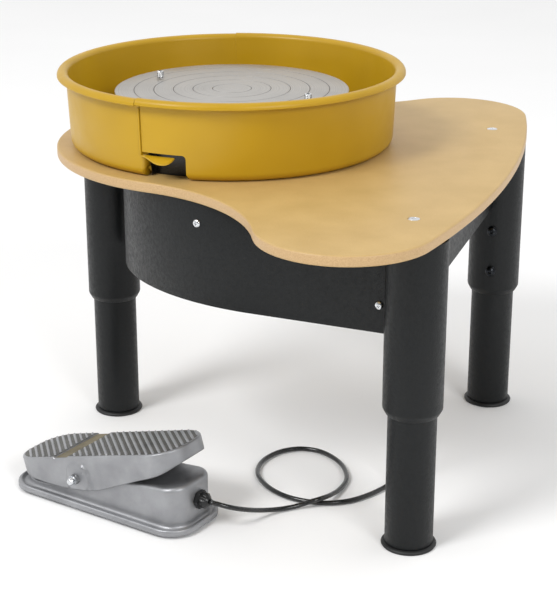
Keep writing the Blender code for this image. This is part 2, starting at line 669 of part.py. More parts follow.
def tongue_outline(start, arc):
    """A crescent on the pan's wall, over an arc in degrees, that bulges outwards."""
    steps = 8
    crest = 0.0065
    outline = arc_points((0, 0), PAN_WALL_R - 0.0045, start, start + arc, arc / 5)
    for i in range(steps, -1, -1):
        bulge = crest * math.sin(math.pi * i / steps) ** 0.7
        outline.append(polar(start + arc * i / steps, PAN_WALL_R - 0.0015 + bulge))
    return outline


def make_pan(frame, mats):
    slack = math.degrees(0.0003 / PAN_WALL_R) + 0.05
    front, back = PAN_FRONT_SEAM, PAN_BACK_SEAM
    bm = turned_mesh(pan_profile(), 16, back + slack, front - slack)
    left = finish_mesh("splash_pan_left", bm, mats["pan"], frame)
    bm = turned_mesh(pan_profile(), 24, front + slack - 360.0, back - slack)
    right = finish_mesh("splash_pan_right", bm, mats["pan"], frame)
    inner, low = PAN_WALL_R - 0.026, PAN_FLOOR - 0.02
    notch = [(inner, low), (PAN_RIM_R, low), (PAN_RIM_R, NOTCH_TOP), (inner, NOTCH_TOP)]
    bm = turned_mesh(notch, 6, front - 2.0, front + NOTCH_ARC)
    tool = finish_mesh("notch", bm, None, frame, smooth=0)
    add_boolean(right, tool)
    bm = prism_mesh(tongue_outline(front - 1.5, 12.5), TONGUE_LOW, TONGUE_LOW + 0.0025)
    tool = finish_mesh("tongue", bm, None, frame, smooth=0)
    add_boolean(left, tool, "UNION")


# ---- Pedal --------------------------------------------------------------------------------
BASE_CROWN = [
    (-0.130, 0.0180), (-0.085, 0.0190), (-0.068, 0.0260), (-0.045, 0.0480), (-0.010, 0.0510),
    (0.050, 0.0550), (0.124, 0.0615),
]
TREADLE_HEM = [
    (-0.130, 0.0205), (-0.067, 0.0210), (-0.026, 0.0265), (0.000, 0.0345), (0.020, 0.0440), (0.057, 0.0610),
    (0.092, 0.0770), (0.116, 0.0930),
]


def along(knots, x):
    """Height at x on straight runs between (x, height) knots."""
    for (x0, z0), (x1, z1) in zip(knots, knots[1:]):
        if x <= x1:
            return z0 + (z1 - z0) * (max(x, x0) - x0) / (x1 - x0)
    return knots[-1][1]


def base_top(x):
    """Height of the casting's top: low at the heel, a crown over the pivot, rising to the toe."""
    return along(BASE_CROWN, x)


def treadle_top(x):
    return TREADLE_TOP + TREADLE_SLOPE * x


def treadle_low(x):
    """Lower edge of the treadle's sides: deepest by the pivot, shallow at heel and toe."""
    return along(TREADLE_HEM, x)


def square_to_top(loop):
    """Moves a loop's points to the toe, so that sides drawn down to it are square to the top."""
    return [(x + TREADLE_SLOPE * (treadle_top(x) - z), y, z) for x, y, z in loop]


def make_pedal(frame, mats):
    pedal = bpy.data.objects.new("pedal_frame", None)
    bpy.context.scene.collection.objects.link(pedal)
    pedal.parent = frame
    pedal.location = (*PEDAL_AT, 0)
    pedal.rotation_euler = (0, 0, math.radians(PEDAL_YAW))
    make_pedal_base(pedal, mats)
    make_treadle(pedal, mats)
    make_pivot(pedal, mats)
    make_speed_sensor(pedal, mats)
    return pedal


def make_pedal_base(pedal, mats):
    ends = PEDAL_HALF_LONG
    flange = rounded_loop(-ends, ends, PEDAL_HALF_WIDE, 0.032, 0.035)
    inset = 0.0095
    outer = rounded_loop(-ends + inset, ends - inset, BASE_HALF_WIDE, 0.030, 0.026)
    wall = inset + CAST_WALL
    inner = rounded_loop(-ends + wall, ends - wall, BASE_HALF_WIDE - CAST_WALL, 0.026, 0.022)
    plate_high = 0.0065
    loops = [
        at_height(outer, base_top), at_height(outer, FLANGE_TOP), at_height(flange, FLANGE_TOP - 0.002),
        at_height(flange, BASE_LOW), at_height(inner, BASE_LOW),
        at_height(inner, lambda x: base_top(x) - CAST_WALL),
    ]
    base = finish_mesh("pedal_base", lofted_mesh(loops), mats["cast_aluminium"], pedal)
    px, pz = PIVOT
    drill(base, "base_pivot_hole", 0.0046, (px, -0.06, pz), (px, 0.06, pz), pedal)
    gx, gy, gz = GLAND
    drill(base, "base_gland_hole", 0.0068, (gx - 0.012, gy, gz), (gx + 0.01, gy, gz), pedal)
    slot = prism_mesh(box_outline(0.006, -0.005, 0.054, 0.005), 0.040, 0.070)
    add_boolean(base, finish_mesh("arm_slot", slot, None, pedal, smooth=0))
    gap = wall + GAP
    plate = rounded_loop(-ends + gap, ends - gap, BASE_HALF_WIDE - CAST_WALL - GAP, 0.0256, 0.0216)
    bm = prism_mesh(without_repeats(plate), BASE_LOW + 0.0005, plate_high)
    bottom = finish_mesh("pedal_bottom_plate", bm, mats["steel"], pedal)
    foot = [
        (0, 0), (0.0080, 0), (0.0085, 0.0005), (0.0085, 0.0036), (0.0030, 0.0036), (0.0030, 0.0100),
        (0, 0.0100),
    ]
    for i, (sx, sy) in enumerate(((-1, -1), (1, -1), (1, 1), (-1, 1)), start=1):
        x, y = sx * 0.104, sy * 0.022
        drill(bottom, f"pedal_foot_hole_{i}", 0.0036, (x, y, 0), (x, y, 0.02), pedal, 8)
        finish_mesh(f"pedal_foot_{i}", turned_mesh(foot, 12), mats["rubber"], pedal, (x, y, 0))
    wall_x = ends - inset
    gland = [
        (CORD_R + GAP, -0.012), (0.0062, -0.012), (0.0062, GAP), (0.0118, GAP), (0.0118, 0.0060),
        (0.0098, 0.0075), (0.0098, 0.0125), (0.0062, 0.0165), (CORD_R + GAP, 0.0165),
    ]
    bm = turned_mesh(gland, 16)
    seat = (wall_x, gy, gz)
    finish_mesh("pedal_gland", bm, mats["black_plastic"], pedal, seat, (0, math.pi / 2, 0))


def make_treadle(pedal, mats):
    """A tray turned upside down: a sloping plate with sides, its origin on the pivot."""
    px, pz = PIVOT
    roof = 0.005
    outer = rounded_loop(TREADLE_HEEL, TREADLE_TOE, TREADLE_HALF_WIDE, 0.034, 0.036, 6)
    wall = 0.0038
    inner = rounded_loop(TREADLE_HEEL + wall, TREADLE_TOE - wall, TREADLE_HALF_WIDE - wall, 0.0302, 0.0322, 6)
    loops = [
        at_height(outer, treadle_top), square_to_top(at_height(outer, treadle_low)),
        square_to_top(at_height(inner, treadle_low)), at_height(inner, lambda x: treadle_top(x) - roof),
    ]
    loops = [[(x - px, y, z - pz) for x, y, z in loop] for loop in loops]
    treadle = finish_mesh("pedal_treadle", lofted_mesh(loops), mats["cast_aluminium"], pedal, (px, 0, pz))
    drill(treadle, "treadle_pivot_hole", 0.0046, (px, -0.06, pz), (px, 0.06, pz), pedal)


def make_pivot(pedal, mats):
    """A bolt across the pedal, with its head on the far side and two nuts on the near side."""
    px, pz = PIVOT
    reach = TREADLE_HALF_WIDE + 0.0005
    thread = 0.0040
    across = 0.0066
    bolt = [
        (0, -reach - 0.0048), (across, -reach - 0.0048), (across, -reach), (thread, -reach),
        (thread, reach + 0.0105), (0, reach + 0.0105),
    ]
    lie = (math.pi / 2, 0, 0)
    finish_mesh("pivot_bolt", turned_mesh(bolt, 12), mats["zinc"], pedal, (px, 0, pz), lie)
    bore = (thread + GAP) / math.cos(math.pi / 6)
    nut = [(bore, 0), (across, 0), (across, 0.0050), (bore, 0.0050)]
    place = (px, -reach, pz)
    finish_mesh("pivot_nut", turned_mesh(nut, 6), mats["zinc"], pedal, place, lie, smooth=0)
    cap = [
        (thread + GAP, 0.0054), (across, 0.0054), (across, 0.0085), (0.0050, 0.0100), (0.0046, 0.0125),
        (0.0030, 0.0145), (0, 0.0150), (0, 0.0112), (thread + GAP, 0.0112),
    ]
    finish_mesh("pivot_cap_nut", turned_mesh(cap, 12), mats["zinc"], pedal, place, lie)


def make_speed_sensor(pedal, mats):
    """A rotary sensor in the base, and its arm, whose tip follows the treadle's underside."""
    sx, sz = SENSOR
    lie = (math.pi / 2, 0, 0)
    sensor = [
        (0, -0.016), (0.0100, -0.016), (0.0100, -0.0045), (0.0030, -0.0045), (0.0030, 0.0055),
        (0, 0.0055),
    ]
    finish_mesh("speed_sensor", turned_mesh(sensor, 16), mats["black_plastic"], pedal, (sx, 0, sz), lie)
    tip = Vector((0.022 - sx, 0.0745 - sz))
    length = tip.length
    lean = math.degrees(math.atan2(tip.y, tip.x))
    hub, end = 0.0062, 0.0022
    slope = math.degrees(math.acos((hub - end) / length))
    outline = arc_points((0, 0), hub, lean + slope, lean + 360.0 - slope, 24.0)
    outline += arc_points(tuple(tip), end, lean - slope, lean + slope, 30.0)
    bm = prism_mesh(without_repeats(outline), -0.0030, 0.0030)
    arm = finish_mesh("sensor_arm", bm, mats["steel"], pedal, (sx, 0, sz), lie)
    drill(arm, "arm_hole", 0.0036, (sx, -0.02, sz), (sx, 0.02, sz), pedal)


# ---- Cord ---------------------------------------------------------------------------------
def spline_points(route, step):
    """A smooth curve through the route's points, read at equal steps of length."""
    points = [Vector(p) for p in route]
    points = [points[0] * 2 - points[1]] + points + [points[-1] * 2 - points[-2]]
    dense = []
    for a, b, c, d in zip(points, points[1:], points[2:], points[3:]):
        for i in range(12):
            t = i / 12
            dense.append(
                0.5 * (2 * b + (c - a) * t + (2 * a - 5 * b + 4 * c - d) * t * t
                       + (3 * b - a - 3 * c + d) * t**3)
            )
    dense.append(points[-2])
    lengths = [0.0]
    for a, b in zip(dense, dense[1:]):
        lengths.append(lengths[-1] + (b - a).length)
    count = round(lengths[-1] / step)
    even = []
    k = 0
    for i in range(count + 1):
        target = lengths[-1] * i / count
        while k < len(lengths) - 2 and lengths[k + 1] < target:
            k += 1
        part = (target - lengths[k]) / (lengths[k + 1] - lengths[k])
        even.append(dense[k].lerp(dense[k + 1], part))
    return even


def make_cord(frame, mats):
    curve = bpy.data.curves.new("pedal_cord", "CURVE")
    curve.dimensions = "3D"
    curve.bevel_depth = CORD_R
    curve.bevel_resolution = 2
    curve.use_fill_caps = True
    points = spline_points(CORD_ROUTE, CORD_STEP)
    spline = curve.splines.new("POLY")
    spline.points.add(len(points) - 1)
    for target, point in zip(spline.points, points):
        target.co = (*point, 1.0)
    curve.materials.append(mats["rubber"])
    cord = bpy.data.objects.new("pedal_cord", curve)
    bpy.context.scene.collection.objects.link(cord)
    cord.parent = frame


def main():
    for obj in list(bpy.data.objects):
        bpy.data.objects.remove(obj)
    mats = make_materials()
    frame = bpy.data.objects.new("wheel_axis_frame", None)
    bpy.context.scene.collection.objects.link(frame)
    frame.location = (*WHEEL_AXIS, 0)
    make_table(frame, mats)
    make_panels(frame, mats)
    make_legs(frame, mats)
    make_wheel(frame, mats)
    plate_high = make_bearings(frame, mats)
    make_drive(frame, mats, plate_high)
    make_controls(frame, mats)
    make_pan(frame, mats)
    make_pedal(frame, mats)
    make_cord(frame, mats)


main()
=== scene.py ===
"""Looks of the pottery wheel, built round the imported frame.

Metres, +Z up; the front of the table looks along -Y. Places come from the frame. Every mesh is made
where it stands in the row frame, so its object sits at the origin.
"""

import json
import math

import bmesh
import bpy
from mathutils import Matrix, Vector


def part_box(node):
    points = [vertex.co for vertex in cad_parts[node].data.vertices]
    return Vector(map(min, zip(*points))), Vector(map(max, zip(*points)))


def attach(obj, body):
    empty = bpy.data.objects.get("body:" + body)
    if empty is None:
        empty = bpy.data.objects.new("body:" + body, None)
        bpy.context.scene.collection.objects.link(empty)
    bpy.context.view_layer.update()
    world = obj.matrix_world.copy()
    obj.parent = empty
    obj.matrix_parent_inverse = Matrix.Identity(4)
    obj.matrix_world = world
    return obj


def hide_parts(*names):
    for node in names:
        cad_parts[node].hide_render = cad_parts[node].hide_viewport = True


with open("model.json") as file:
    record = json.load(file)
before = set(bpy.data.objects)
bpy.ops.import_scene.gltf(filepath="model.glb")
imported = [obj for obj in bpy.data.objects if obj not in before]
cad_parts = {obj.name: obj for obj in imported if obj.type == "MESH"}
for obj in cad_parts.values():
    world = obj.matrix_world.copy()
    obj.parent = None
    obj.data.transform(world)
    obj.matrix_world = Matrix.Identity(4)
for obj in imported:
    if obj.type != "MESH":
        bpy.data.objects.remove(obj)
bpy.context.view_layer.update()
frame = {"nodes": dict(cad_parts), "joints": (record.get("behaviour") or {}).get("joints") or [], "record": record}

INCH = 0.0254
GAP = 0.0004

# ---- Places, from the frame ---------------------------------------------------------------
JOINTS = {joint["name"]: joint for joint in frame["joints"]}


def centre(node):
    low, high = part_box(node)
    return (low + high) / 2


def joint_frame(name, along):
    """A frame on the floor whose +Y is a level joint's axis; the joint crosses its +X at along."""
    x, y, _ = JOINTS[name]["axis"]
    px, py, _ = JOINTS[name]["pos_m"]
    turn = Matrix.Rotation(math.atan2(-x, y), 4, "Z")
    return Matrix.Translation((px, py, 0)) @ turn @ Matrix.Translation((-along, 0, 0))


def axis_at(node, height=0.0):
    """A vertical axis through a node's middle."""
    x, y, _ = centre(node)
    return Matrix.Translation((x, y, height))


def facing(point, direction):
    """A frame at a point, with +Z along a direction."""
    turn = Vector(direction).to_track_quat("Z", "Y").to_matrix().to_4x4()
    return Matrix.Translation(point) @ turn


SIDES = ("left", "front", "back")
WHEEL = axis_at("wheel_shaft")
PIVOT_X, PIVOT_Z = -0.026, 0.041
PEDAL = joint_frame("treadle_tilt", PIVOT_X)
TABLE_LOW, TABLE_TOP = (corner.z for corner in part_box("table_top"))
RIM_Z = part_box("splash_pan_right")[1].z
RIM_R = 0.225
HEAD_R = 6.0 * INCH
HEAD_LOW, HEAD_TOP = 0.4505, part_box("wheelhead")[1].z
UNDER = TABLE_LOW - GAP               # underside of the board, where the metal parts hang


# ---- Outlines -----------------------------------------------------------------------------
def on_circle(centre_xy, radius, degrees):
    a = math.radians(degrees)
    return Vector((centre_xy[0] + radius * math.cos(a), centre_xy[1] + radius * math.sin(a)))


def arc(centre_xy, radius, start, end, step=4.0):
    count = max(2, math.ceil(abs(end - start) / step))
    return [on_circle(centre_xy, radius, start + (end - start) * i / count) for i in range(count + 1)]


def heading(origin, target):
    return math.degrees(math.atan2(target[1] - origin[1], target[0] - origin[0]))


def filleted(points, closed=False, step=15.0):
    """Points with each (x, y, radius) corner turned into an arc; a plain (x, y) corner stays sharp."""
    out = []
    for i, point in enumerate(points):
        here = Vector(point[:2])
        if len(point) < 3 or (not closed and i in (0, len(points) - 1)):
            out.append(here)
            continue
        radius = point[2]
        back = (Vector(points[i - 1][:2]) - here).normalized()
        on = (Vector(points[(i + 1) % len(points)][:2]) - here).normalized()
        half = back.angle(on) / 2
        middle = here + (back + on).normalized() * radius / math.sin(half)
        reach = radius / math.tan(half)
        start = heading(middle, here + back * reach)
        sweep = (heading(middle, here + on * reach) - start + 180.0) % 360.0 - 180.0
        out += arc(middle, radius, start, start + sweep, step)
    return out


def offset(outline, distance, closed=True):
    """The outline moved to its left, mitred at its corners."""
    moved = []
    count = len(outline)
    for i, here in enumerate(outline):
        before = outline[i - 1] if closed or i else here - (outline[1] - here)
        after = outline[(i + 1) % count] if closed or i < count - 1 else here + (here - outline[i - 1])
        first = (here - before).normalized()
        second = (after - here).normalized()
        bisector = first + second
        left = Vector((-bisector.y, bisector.x)).normalized()
        stretch = max(0.4, left.dot(Vector((-first.y, first.x))))
        moved.append(here + left * distance / stretch)
    return moved


def without_repeats(points):
    return [p for i, p in enumerate(points) if (p - points[i - 1]).length > 1e-5]


def bezier(a, b, c, d, count):
    """Points on the curve from a to d, without a itself."""
    a, b, c, d = Vector(a), Vector(b), Vector(c), Vector(d)
    points = []
    for i in range(1, count + 1):
        t = i / count
        u = 1.0 - t
        points.append(a * u**3 + b * 3 * u * u * t + c * 3 * u * t * t + d * t**3)
    return points


def smoothly(t):
    t = min(1.0, max(0.0, t))
    return t * t * (3 - 2 * t)


def through(knots, x):
    """Height at x on a smooth curve through (x, height) knots."""
    xs = [k[0] for k in knots]
    x = min(max(x, xs[0]), xs[-1])
    i = max(k for k in range(len(knots) - 1) if xs[k] <= x)
    slopes = []
    for k in range(len(knots)):
        before, after = knots[max(k - 1, 0)], knots[min(k + 1, len(knots) - 1)]
        slopes.append((after[1] - before[1]) / (after[0] - before[0]))
    (x0, z0), (x1, z1) = knots[i], knots[i + 1]
    w = x1 - x0
    t = (x - x0) / w
    return (
        z0 * (2 * t**3 - 3 * t**2 + 1) + slopes[i] * w * (t**3 - 2 * t**2 + t)
        + z1 * (3 * t**2 - 2 * t**3) + slopes[i + 1] * w * (t**3 - t**2)
    )


# ---- Meshes -------------------------------------------------------------------------------
def skinned(rings):
    """Quads between rings of equal length."""
    bm = bmesh.new()
    rows = [[bm.verts.new(p) for p in ring] for ring in rings]
    count = len(rows[0])
    for here, there in zip(rows, rows[1:]):
        for i in range(count):
            j = (i + 1) % count
            bm.faces.new((here[i], here[j], there[j], there[i]))
    return bm, rows


def closed_skin(rings):
    """Quads between rings, and a face over the first and the last."""
    bm, rows = skinned(rings)
    bm.faces.new(rows[0][::-1])
    bm.faces.new(rows[-1])
    return bm


def turned(profile, sides=96, start=0.0, sweep=360.0, ring=False):
    """A filleted (radius, height) profile turned about Z. A ring's profile is closed on itself."""
    points = filleted(profile, closed=ring)
    whole = sweep >= 360.0
    bm = bmesh.new()
    columns = []
    for i in range(sides if whole else sides + 1):
        a = math.radians(start + sweep * i / sides)
        columns.append([bm.verts.new((r * math.cos(a), r * math.sin(a), z)) for r, z in points])
    for here, there in zip(columns, columns[1:] + (columns[:1] if whole else [])):
        for k in range(len(points) - (0 if ring else 1)):
            m = (k + 1) % len(points)
            bm.faces.new((here[k], there[k], there[m], here[m]))
    if not whole:
        bm.faces.new(columns[0])
        bm.faces.new(columns[-1][::-1])
    bmesh.ops.remove_doubles(bm, verts=bm.verts, dist=1e-7)
    return bm


def slab(outline, low, high, soft=0.001, steps=3):
    """A flat piece of an outline's shape between two heights, its edges rounded."""
    rings = []
    for i in range(steps + 1):
        a = math.pi / 2 * i / steps
        rings.append((soft * (1 - math.sin(a)), low + soft * (1 - math.cos(a))))
    rings += [(inward, low + high - z) for inward, z in reversed(rings)]
    return closed_skin([[(*p, z) for p in offset(outline, inward)] for inward, z in rings])


def box_outline(x0, y0, x1, y1, radius):
    corners = ((x0, y0), (x1, y0), (x1, y1), (x0, y1))
    return filleted([(*corner, radius) for corner in corners], closed=True)


def hexagon(radius):
    return [on_circle((0, 0), radius, 60.0 * i) for i in range(6)]


def placed(bm, place):
    bmesh.ops.transform(bm, matrix=place, verts=bm.verts)
    return bm


def merge(bm, other):
    """Adds the other mesh's faces to the first."""
    mesh = bpy.data.meshes.new("part")
    other.to_mesh(mesh)
    other.free()
    bm.from_mesh(mesh)
    bpy.data.meshes.remove(mesh)
    return bm


def new_object(name, bm):
    bmesh.ops.recalc_face_normals(bm, faces=bm.faces)
    mesh = bpy.data.meshes.new(name)
    bm.to_mesh(mesh)
    bm.free()
    obj = bpy.data.objects.new(name, mesh)
    bpy.context.scene.collection.objects.link(obj)
    return obj


def settled(obj):
    """Gives the object the mesh that its modifiers make, and no modifiers."""
    graph = bpy.context.evaluated_depsgraph_get()
    mesh = bpy.data.meshes.new_from_object(obj.evaluated_get(graph))
    obj.modifiers.clear()
    old = obj.data
    obj.data = mesh
    bpy.data.meshes.remove(old)


def piece(name, bm, look, body, nodes, place, cuts=(), crease=32.0):
    """The mesh as a piece in a slot's look, riding on a body and standing for CAD nodes."""
    obj = new_object(name, placed(bm, place))
    tools = []
    for i, tool_mesh in enumerate(cuts):
        tool = new_object(f"{name}_cut_{i}", placed(tool_mesh, place))
        modifier = obj.modifiers.new("cut", "BOOLEAN")
        modifier.object = tool
        tools.append(tool)
    if tools:
        settled(obj)
    for tool in tools:
        bpy.data.objects.remove(tool)
    obj.data.materials.clear()
    obj.data.materials.append(LOOKS[look])
    obj.data.shade_smooth()
    obj.data.set_sharp_from_angle(angle=math.radians(crease))
    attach(obj, body)
    if nodes:
        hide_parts(*nodes)
    return obj


# ---- Looks --------------------------------------------------------------------------------
def srgb(*channels):
    """Linear values of a colour given in 8-bit steps."""
    scaled = [c / 255 for c in channels]
    return [c / 12.92 if c <= 0.04045 else ((c + 0.055) / 1.055) ** 2.4 for c in scaled] + [1.0]


class Nodes:
    """A material's node tree, with the few nodes that the looks share."""

    def __init__(self, name, roughness, metallic=0.0, coat=0.0, coat_roughness=0.1):
        self.material = bpy.data.materials.new(name)
        self.material.use_nodes = True
        self.tree = self.material.node_tree
        self.shader = self.tree.nodes["Principled BSDF"]
        self.shader.inputs["Roughness"].default_value = roughness
        self.shader.inputs["Metallic"].default_value = metallic
        self.shader.inputs["Coat Weight"].default_value = coat
        self.shader.inputs["Coat Roughness"].default_value = coat_roughness
        self.place = self.add("ShaderNodeTexCoord").outputs["Object"]

    def add(self, kind, **settings):
        node = self.tree.nodes.new(kind)
        for key, value in settings.items():
            setattr(node, key, value)
        return node

    def link(self, source, target):
        self.tree.links.new(source, target)

    def noise(self, size, detail=3.0, vector=None, rough=0.5):
        node = self.add("ShaderNodeTexNoise")
        node.inputs["Scale"].default_value = 1.0 / size
        node.inputs["Detail"].default_value = detail
        node.inputs["Roughness"].default_value = rough
        self.link(vector or self.place, node.inputs["Vector"])
        return node.outputs["Fac"]

    def ramp(self, value, low, high, first, last):
        """Two colours or numbers over a range of a value."""
        coloured = isinstance(first, list)
        node = self.add("ShaderNodeMapRange", data_type="FLOAT_VECTOR" if coloured else "FLOAT")
        if coloured:
            node.inputs[7].default_value = (low,) * 3
            node.inputs[8].default_value = (high,) * 3
            node.inputs[9].default_value = first[:3]
            node.inputs[10].default_value = last[:3]
            self.link(value, node.inputs[6])
            return node.outputs[1]
        for key, number in (("From Min", low), ("From Max", high), ("To Min", first), ("To Max", last)):
            node.inputs[key].default_value = number
        self.link(value, node.inputs["Value"])
        return node.outputs["Result"]

    def mix(self, factor, first, second):
        node = self.add("ShaderNodeMix", data_type="RGBA")
        self.link(factor, node.inputs[0])
        for value, socket in ((first, node.inputs[6]), (second, node.inputs[7])):
            if isinstance(value, list):
                socket.default_value = value
            else:
                self.link(value, socket)
        return node.outputs[2]

    def math(self, operation, first, second=0.0):
        node = self.add("ShaderNodeMath", operation=operation)
        for value, socket in ((first, node.inputs[0]), (second, node.inputs[1])):
            if isinstance(value, (int, float)):
                socket.default_value = value
            else:
                self.link(value, socket)
        return node.outputs[0]

    def colour(self, value):
        self.link(value, self.shader.inputs["Base Color"])

    def roughness(self, value):
        self.link(value, self.shader.inputs["Roughness"])

    def bump(self, height, depth, before=None):
        node = self.add("ShaderNodeBump")
        node.inputs["Distance"].default_value = depth
        self.link(height, node.inputs["Height"])
        if before is not None:
            self.link(before, node.inputs["Normal"])
        self.link(node.outputs["Normal"], self.shader.inputs["Normal"])
        return node.outputs["Normal"]


def board_look():
    """Tan fibreboard with a clear finish, paler on its cut edge."""
    n = Nodes("board", 0.5, coat=0.15, coat_roughness=0.35)
    cloudy = n.noise(0.045, 4.0)
    fibre = n.noise(0.0016, 5.0, rough=0.7)
    plain = n.ramp(cloudy, 0.3, 0.7, srgb(186, 154, 94), srgb(196, 164, 104))
    flecked = n.mix(n.ramp(fibre, 0.52, 0.75, 0.0, 0.45), plain, srgb(168, 136, 80))
    geometry = n.add("ShaderNodeNewGeometry")
    split = n.add("ShaderNodeSeparateXYZ")
    n.link(geometry.outputs["Normal"], split.inputs[0])
    side = n.ramp(n.math("ABSOLUTE", split.outputs[2]), 0.35, 0.9, 1.0, 0.0)
    edge = n.ramp(n.noise(0.0012, 4.0), 0.3, 0.7, srgb(180, 146, 100), srgb(200, 168, 122))
    n.colour(n.mix(side, flecked, edge))
    n.roughness(n.ramp(fibre, 0.3, 0.7, 0.42, 0.6))
    n.bump(fibre, 0.00006)
    return n.material


def pan_look():
    """Satin ochre plastic with a faint moulded unevenness."""
    n = Nodes("pan_plastic", 0.38)
    n.shader.inputs["Specular IOR Level"].default_value = 0.35
    drift = n.noise(0.11, 2.0)
    fine = n.noise(0.0022, 3.0)
    n.colour(n.ramp(drift, 0.3, 0.7, srgb(178, 140, 18), srgb(188, 149, 24)))
    n.roughness(n.ramp(n.noise(0.03, 4.0), 0.3, 0.7, 0.33, 0.45))
    first = n.bump(n.noise(0.04, 1.0), 0.0004)
    n.bump(fine, 0.00002, first)
    return n.material


def turned_look():
    """Aluminium turned on its own axis: rings of tool marks round the wheel's centre."""
    n = Nodes("turned_aluminium", 0.42, metallic=1.0)
    middle = n.add("ShaderNodeVectorMath", operation="SUBTRACT")
    n.link(n.place, middle.inputs[0])
    middle.inputs[1].default_value = WHEEL.translation
    flat = n.add("ShaderNodeVectorMath", operation="MULTIPLY")
    n.link(middle.outputs[0], flat.inputs[0])
    flat.inputs[1].default_value = (1, 1, 0)
    length = n.add("ShaderNodeVectorMath", operation="LENGTH")
    n.link(flat.outputs[0], length.inputs[0])
    radius = length.outputs["Value"]
    rings = n.add("ShaderNodeTexNoise", noise_dimensions="1D")
    rings.inputs["Scale"].default_value = 900.0
    rings.inputs["Detail"].default_value = 4.0
    n.link(radius, rings.inputs["W"])
    marks = rings.outputs["Fac"]
    haze = n.noise(0.06, 4.0)
    tone = n.ramp(marks, 0.3, 0.7, srgb(176, 174, 171), srgb(204, 202, 199))
    hazed = n.mix(n.ramp(haze, 0.45, 0.75, 0.0, 0.35), tone, srgb(164, 162, 160))
    # Darker colour along the groove at each inch, with the tool marks kept: painted shade in the grooves.
    phase = n.math("FRACT", n.math("DIVIDE", radius, INCH))
    from_groove = n.math("MINIMUM", phase, n.math("SUBTRACT", 1.0, phase))
    cut = n.ramp(from_groove, 0.012, 0.030, 1.0, 0.0)
    cut = n.math("MULTIPLY", cut, n.ramp(radius, 0.010, 0.012, 0.0, 1.0))
    cut = n.math("MULTIPLY", cut, n.ramp(radius, 5.3 * INCH, 5.4 * INCH, 1.0, 0.0))
    n.colour(n.mix(cut, hazed, srgb(122, 121, 120)))
    n.roughness(n.ramp(haze, 0.3, 0.7, 0.36, 0.5))
    n.bump(marks, 0.00003)
    return n.material


def cast_look(name, dark, light, rough, grain):
    """Cast aluminium, bare or silver painted: a fine sandy skin and a faint cloudiness."""
    n = Nodes(name, rough, metallic=0.75)
    cloudy = n.noise(0.03, 4.0)
    sand = n.noise(grain, 4.0, rough=0.65)
    n.colour(n.ramp(cloudy, 0.3, 0.7, dark, light))
    n.roughness(n.ramp(sand, 0.3, 0.7, rough - 0.08, rough + 0.1))
    first = n.bump(n.noise(0.012, 2.0), 0.00025)
    n.bump(sand, 0.00012, first)
    return n.material


def black_paint_look():
    """Black textured powder paint, with the blue-green cast that it has in daylight."""
    n = Nodes("black_paint", 0.42)
    n.shader.inputs["Specular IOR Level"].default_value = 0.34
    grain = n.noise(0.0013, 3.0, rough=0.6)
    pools = n.noise(0.0045, 2.0)
    n.colour(n.ramp(grain, 0.35, 0.75, srgb(2, 4, 5), srgb(11, 16, 18)))
    n.roughness(n.ramp(pools, 0.3, 0.7, 0.34, 0.52))
    first = n.bump(pools, 0.0002)
    n.bump(grain, 0.00022, first)
    return n.material


def dark_look(name, dark, light, rough, size, depth, **shine):
    """Rubber or plastic: near black, uneven in tone, with a fine skin."""
    n = Nodes(name, rough, **shine)
    skin = n.noise(size, 3.0)
    n.colour(n.ramp(n.noise(0.012, 3.0), 0.3, 0.7, dark, light))
    n.roughness(n.ramp(skin, 0.3, 0.7, rough - 0.06, rough + 0.06))
    n.bump(skin, depth)
    return n.material


def steel_look(name, dark, light, rough):
    """Plated or bare steel, slightly mottled."""
    n = Nodes(name, rough, metallic=1.0)
    size = 0.0007
    n.colour(n.ramp(n.noise(0.004, 3.0), 0.3, 0.7, dark, light))
    n.roughness(n.ramp(n.noise(size, 3.0), 0.3, 0.7, rough - 0.07, rough + 0.09))
    n.bump(n.noise(size, 2.0), 0.00001)
    return n.material


LOOKS = {
    "board": board_look(),
    "pan_plastic": pan_look(),
    "turned_aluminium": turned_look(),
    "cast_aluminium": cast_look("cast_aluminium", srgb(84, 84, 82), srgb(112, 111, 107), 0.55, 0.0009),
    "silver_paint": cast_look("silver_paint", srgb(146, 147, 150), srgb(166, 167, 170), 0.42, 0.0008),
    "black_paint": black_paint_look(),
    "rubber": dark_look("rubber", srgb(15, 16, 17), srgb(24, 25, 26), 0.55, 0.0008, 0.00004),
    "cord_jacket": dark_look(
        "cord_jacket", srgb(13, 15, 16), srgb(21, 23, 24), 0.26, 0.0015, 0.00001,
        coat=0.3, coat_roughness=0.12,
    ),
    "zinc": steel_look("zinc", srgb(205, 208, 212), srgb(232, 234, 236), 0.22),
    "steel": steel_look("steel", srgb(150, 151, 153), srgb(178, 179, 180), 0.36),
    "black_steel": steel_look("black_steel", srgb(38, 40, 43), srgb(58, 60, 63), 0.3),
    "black_plastic": dark_look("black_plastic", srgb(14, 15, 16), srgb(22, 23, 24), 0.3, 0.001, 0.00002),
}


# ---- Camera, light and floor --------------------------------------------------------------
CAMERA_FROM_WHEEL = Vector((0.060447, -2.049277, 0.919787))
CAMERA_DIP = 20.18                    # degrees below level
CAMERA_LENS = 96.07
FLOOR_REACH = 30.0
LIT_POINT = (0.0, 0.0, 0.3)


def make_camera():
    data = bpy.data.cameras.new("camera")
    data.sensor_width = 36.0
    data.lens = CAMERA_LENS
    camera = bpy.data.objects.new("camera", data)
    camera.location = WHEEL.translation + CAMERA_FROM_WHEEL
    camera.rotation_euler = (math.radians(90 - CAMERA_DIP), 0, 0)
    bpy.context.scene.collection.objects.link(camera)
    bpy.context.scene.camera = camera


def area_light(name, spot, target, size, power):
    data = bpy.data.lights.new(name, "AREA")
    data.shape = "DISK"
    data.size = size
    data.energy = power
    light = bpy.data.objects.new(name, data)
    light.location = spot
    light.rotation_euler = (Vector(target) - Vector(spot)).to_track_quat("-Z", "Y").to_euler()
    bpy.context.scene.collection.objects.link(light)


